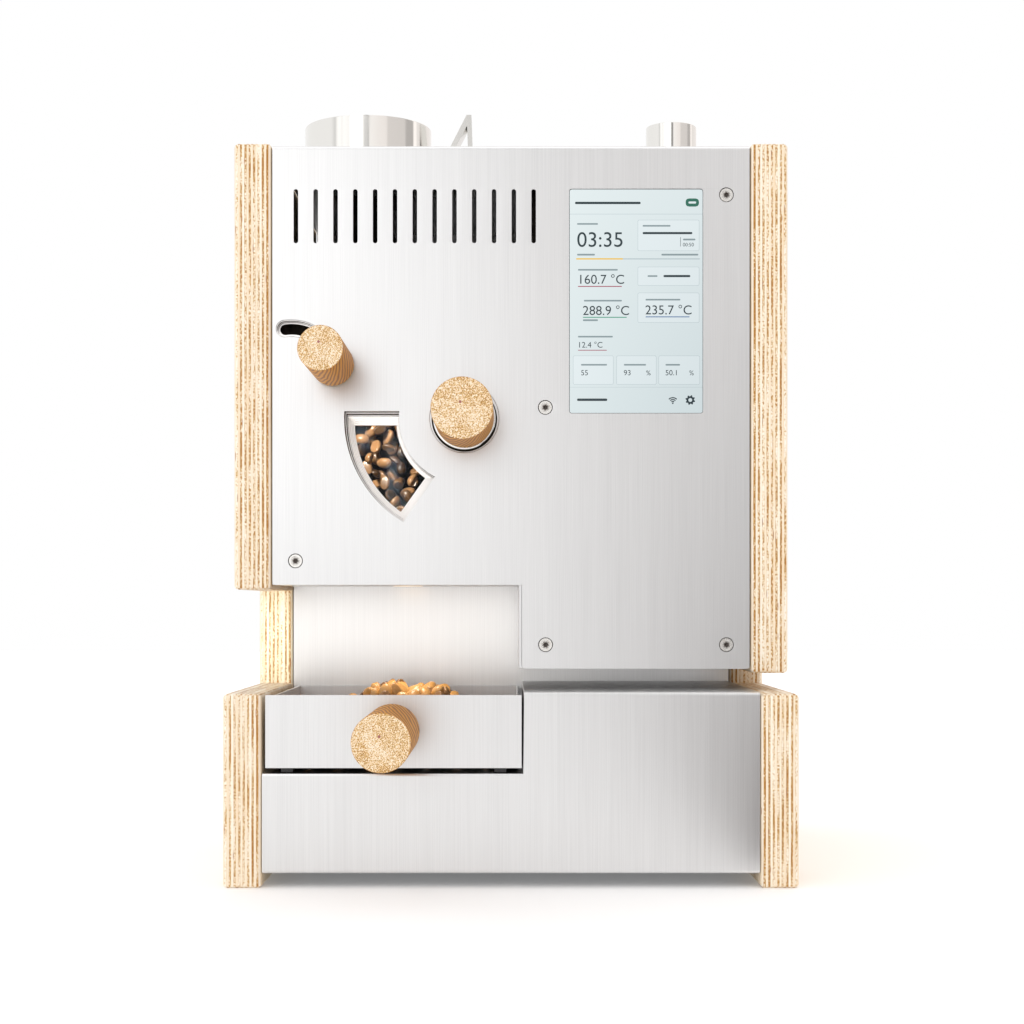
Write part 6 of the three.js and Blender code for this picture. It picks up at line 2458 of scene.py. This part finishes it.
@dataclass
class SheetMetal:
    """The other folded sheets, softened from their solids, and finishes for every CAD node left."""

    edge: float = 0.3
    softened_nodes: tuple[tuple[str, str, str], ...] = (
        ("lower_cover", "lower_cover_folded", "brushed_steel"),
        ("bay_ceiling", "bay_ceiling_folded", "brushed_steel"),
        ("bay_back_plate", "bay_back_sheet", "brushed_steel"),
        ("base_pan", "base_pan_folded", "zinc_steel"),
        ("power_inlet", "power_inlet_moulded", "black_plastic"),
        ("bay_lamp", "bay_lamp_lens", "lamp_lens"),
    )
    blackened: tuple[str, ...] = (
        "drum_front_plate", "lever_shaft", "hopper_throat", "discharge_chute"
    )

    def build(self) -> None:
        """Soften the sheets and dress every node."""
        for node, name, slot in self.softened_nodes:
            add_piece(name, softened(node, self.edge), FINISHES[slot], "case", [node])
        slots = {part["node"]: part["material_slot"] for part in frame["record"]["subparts"]}
        for name, node in frame["nodes"].items():
            dress(node.data, BLACK_ZINC if name in self.blackened else FINISHES[slots[name]])


@dataclass(frozen=True)
class SoftLight:
    """A soft area light. Where it names pieces, it lights only those."""

    name: str
    place: Triple
    aim: Triple
    size: Point
    power: float
    tint: str = "FFFFFF"
    pieces: tuple[str, ...] = ()
    own_shadows: bool = False  # whether only its pieces block it
    spread: float = 180.0

    def build(self) -> None:
        """Add the light and keep it on its pieces."""
        lamp = bpy.data.lights.new(self.name, "AREA")
        lamp.shape = "RECTANGLE"
        lamp.size, lamp.size_y = self.size[0] * MM, self.size[1] * MM
        lamp.energy, lamp.color = self.power, linear(self.tint)[:3]
        lamp.spread = math.radians(self.spread)
        obj = link(bpy.data.objects.new(self.name, lamp))
        obj.location = Vector(self.place) * MM
        away = Vector(self.place) - Vector(self.aim)
        obj.rotation_euler = away.to_track_quat("Z", "Y").to_euler()
        obj.visible_camera = False
        if not self.pieces:
            return
        lit = bpy.data.collections.new(f"{self.name}_pieces")
        for piece in self.pieces:
            lit.objects.link(bpy.data.objects[piece])
        obj.light_linking.receiver_collection = lit
        if self.own_shadows:
            obj.light_linking.blocker_collection = lit


@dataclass
class Studio:
    """The pale floor, the soft lights and the camera at the photograph's place."""

    eye: Triple = (0.0, -1304.5, 186.0)
    lens: float = 63.28
    shift_x: float = 0.001
    shift_y: float = 0.0918
    sensor: float = 36.0
    floor: float = 6000.0
    # A dark card on the floor at the right, seen only in the steel: it darkens the lower right
    card: tuple[Point, ...] = ((165, -200), (1800, -200), (1800, -3000), (300, -3000))
    card_low: float = 2.0
    card_high: float = 6.0
    # How far round to the right the surround turns faintly warm, as a share of straight right
    warm_start: float = -0.2
    warm_end: float = 0.5
    brightest: float = 2.6
    level_start: float = 0.1
    level_end: float = 0.22
    top_start: float = 0.5
    top_end: float = 0.75
    top_gain: float = 1.1
    # The surround, in degrees from the camera's side (right is positive) and brightness:
    # soft cards at the object's height, narrow ones above them that the chrome mirrors
    low_cards: tuple[Point, ...] = (
        *((-180, 0.9), (-50, 0.9), (-25, 0.95), (-12, 1.0), (-9, 1.15), (-3, 1.15), (-1, 1.35)),
        *((3, 1.35), (5, 0.4), (15, 0.45), (24, 0.75), (60, 0.92), (180, 0.9)),
    )
    high_cards: tuple[Point, ...] = (
        *((-180, 1.06), (-66, 1.1), (-61, 0.95), (-57, 0.8), (-55, 1.2), (-47, 1.3), (-44, 1.1)),
        *((-41, 1.3), (-30, 1.15), (-26, 1.35), (-6, 1.4), (-4, 0.42), (4, 0.42), (6, 1.2)),
        *((37, 1.1), (40, 0.88), (74, 0.85), (77, 0.6), (93, 0.6), (95, 1.35), (101, 1.35)),
        *((104, 1.05), (180, 1.06)),
    )

    def sky(self) -> None:
        """Build the surround: white to the eye, brighter from the upper left for the object."""
        world = bpy.data.worlds.new("studio")
        bpy.context.scene.world = world
        world.use_nodes = True
        tree = world.node_tree
        tree.nodes.clear()
        own = add_node(tree, "ShaderNodeTexCoord").outputs["Generated"]
        axes = add_node(tree, "ShaderNodeSeparateXYZ", {0: own}).outputs
        ahead = add_node(tree, "ShaderNodeMath", {0: axes["Y"], 1: -1.0}, operation="MULTIPLY")
        sides = {0: axes["X"], 1: ahead.outputs[0]}
        turn = add_node(tree, "ShaderNodeMath", sides, operation="ARCTAN2").outputs[0]
        circuit = {"Value": turn, "From Min": -math.pi, "From Max": math.pi}
        share = add_node(tree, "ShaderNodeMapRange", circuit).outputs[0]
        rows = []
        for cards in (self.low_cards, self.high_cards):
            stops = [((degrees + 180) / 360, level / self.brightest) for degrees, level in cards]
            rows.append(add_node(tree, "ShaderNodeValToRGB", {"Fac": share}, stops).outputs[0])
        heights = {"Value": axes["Z"], "From Min": self.level_start, "From Max": self.level_end}
        rise = add_node(tree, "ShaderNodeMapRange", heights).outputs[0]
        ends = {MIX_FACTOR: rise, MIX_A: rows[0], MIX_B: rows[1]}
        both = add_node(tree, "ShaderNodeMix", ends, data_type="RGBA").outputs[MIX_RESULT]
        gain = {
            "Value": axes["Z"],
            "From Min": self.top_start,
            "From Max": self.top_end,
            "To Min": self.brightest,
            "To Max": self.brightest * self.top_gain,
        }
        overhead = add_node(tree, "ShaderNodeMapRange", gain).outputs[0]
        level = add_node(tree, "ShaderNodeMath", {0: both, 1: overhead}, operation="MULTIPLY")
        right = {"Value": axes["X"], "From Min": self.warm_start, "From Max": self.warm_end}
        warmth = add_node(tree, "ShaderNodeMapRange", right).outputs[0]
        tints = {MIX_FACTOR: warmth, MIX_A: linear("FFFFFF"), MIX_B: linear("FFFAF8")}
        tint = add_node(tree, "ShaderNodeMix", tints, data_type="RGBA").outputs[MIX_RESULT]
        glow = {"Color": tint, "Strength": level.outputs[0]}
        surround = add_node(tree, "ShaderNodeBackground", glow).outputs[0]
        plain = {"Color": linear("FFFFFF"), "Strength": 1.0}
        white = add_node(tree, "ShaderNodeBackground", plain).outputs[0]
        seen = add_node(tree, "ShaderNodeLightPath").outputs["Is Camera Ray"]
        mixed = add_node(tree, "ShaderNodeMixShader", {0: seen, 1: surround, 2: white})
        add_node(tree, "ShaderNodeOutputWorld", {"Surface": mixed.outputs[0]})

    def lights(self) -> list[SoftLight]:
        """Give the lights: two for all, and one or two for each place that needs its own.

        Returns:
            The lights.
        """
        lens, back = Span.of("bay_lamp").x, Span.of("bay_back_plate")
        mid, strip = (back.x0 + FrontPlate().step_x) / 2, -177.0
        sheets, sides = ("front_plate_folded", "lower_cover_folded"), ("side_panel_left_ply",)
        steps, beans, pane = ("sight_window_steps",), ("roasting_beans",), ("sight_pane",)
        heap, bay = ("cooling_beans",), ("bay_back_sheet",)
        centre, cold = (-50, -70, 350), "E4F0F2"
        # Name, place, aim, size, watts, tint, and the only pieces that it lights
        rows: list[tuple[Any, ...]] = [
            ("front_card", (-450, -1600, 700), centre, (900, 900), 1.1),
            ("near_card", (-700, -900, 600), centre, (700, 700), 0.15),
            ("fold_card", (0, -500, 1400), (0, -70, 500), (1400, 300), 1.6, "FFFFFF", sheets),
            ("pane_streak", (-247, -2500, 420), (-84, -40, 290), (16, 1500), 1.6, cold, pane),
            ("pane_spot", (-318, -2500, 560), (-107, -40, 308), (40, 110), 0.22, cold, pane),
            ("ledge_glow", (-85, -420, 60), (-85, -60, 290), (260, 120), 0.8, "FFFAF4", steps),
            ("bean_beam", (-190, -260, 430), (-85, -20, 280), (40, 40), 3.6, "FFF1E0", beans, True),
            ("heap_beam", (lens, -60, 185), (lens, -45, 125), (30, 30), 0.075, "FFF0E4", heap),
            ("bay_glow", (mid, -130, 175), (mid, back.y0, 168), (280, 130), 0.05, "FFF6EA", bay),
        ]
        ends = (strip, -25, 160), (strip, back.y0, 160)
        glow = SoftLight("strip_glow", *ends, (20, 90), 0.009, "F6FBEC", sides, spread=50)
        return [*(SoftLight(*row) for row in rows), glow]

    def build(self) -> None:
        """Set the floor, lights and camera."""

        def ground(work: WorkMesh) -> None:
            """Add the floor's grid."""
            bmesh.ops.create_grid(work, x_segments=8, y_segments=8, size=self.floor)

        floor = link(bpy.data.objects.new("studio_floor", mesh_of(ground)))
        dress(floor.data, PAPER)
        self.sky()
        for light in self.lights():
            light.build()
        card = cut_sheet(self.card, [], self.card_low, self.card_high, Plane.TOP, 0.5)
        dark = link(bpy.data.objects.new("dark_card", card))
        dress(dark.data, DARK_CARD)
        dark.visible_camera = dark.visible_diffuse = dark.visible_shadow = False
        eye = bpy.data.cameras.new("photo_view")
        eye.lens, eye.sensor_width = self.lens, self.sensor
        eye.shift_x, eye.shift_y = self.shift_x, self.shift_y
        camera = link(bpy.data.objects.new("photo_view", eye))
        camera.location = Vector(self.eye) * MM
        camera.rotation_euler = (math.pi / 2, 0, 0)
        scene = bpy.context.scene
        scene.camera = camera
        scene.view_settings.view_transform = "Standard"


def main() -> None:
    """Build every sub-assembly in order and report it."""
    logging.basicConfig(level=logging.INFO, format="%(message)s")
    pieces: list[Any] = [
        SheetMetal(),
        PlywoodSides(),
        FrontPlate(),
        FrontScrews(),
        Display(),
        SightWindow(),
        DrumBeans(),
        DischargeLever(),
        Trier(),
        Hopper(),
        ExhaustPipe(),
        CoolingTray(),
        RearCover(),
        Studio(),
    ]
    for piece in pieces:
        piece.build()
        log.info("built %s", type(piece).__name__)


if __name__ == "__main__":
    main()
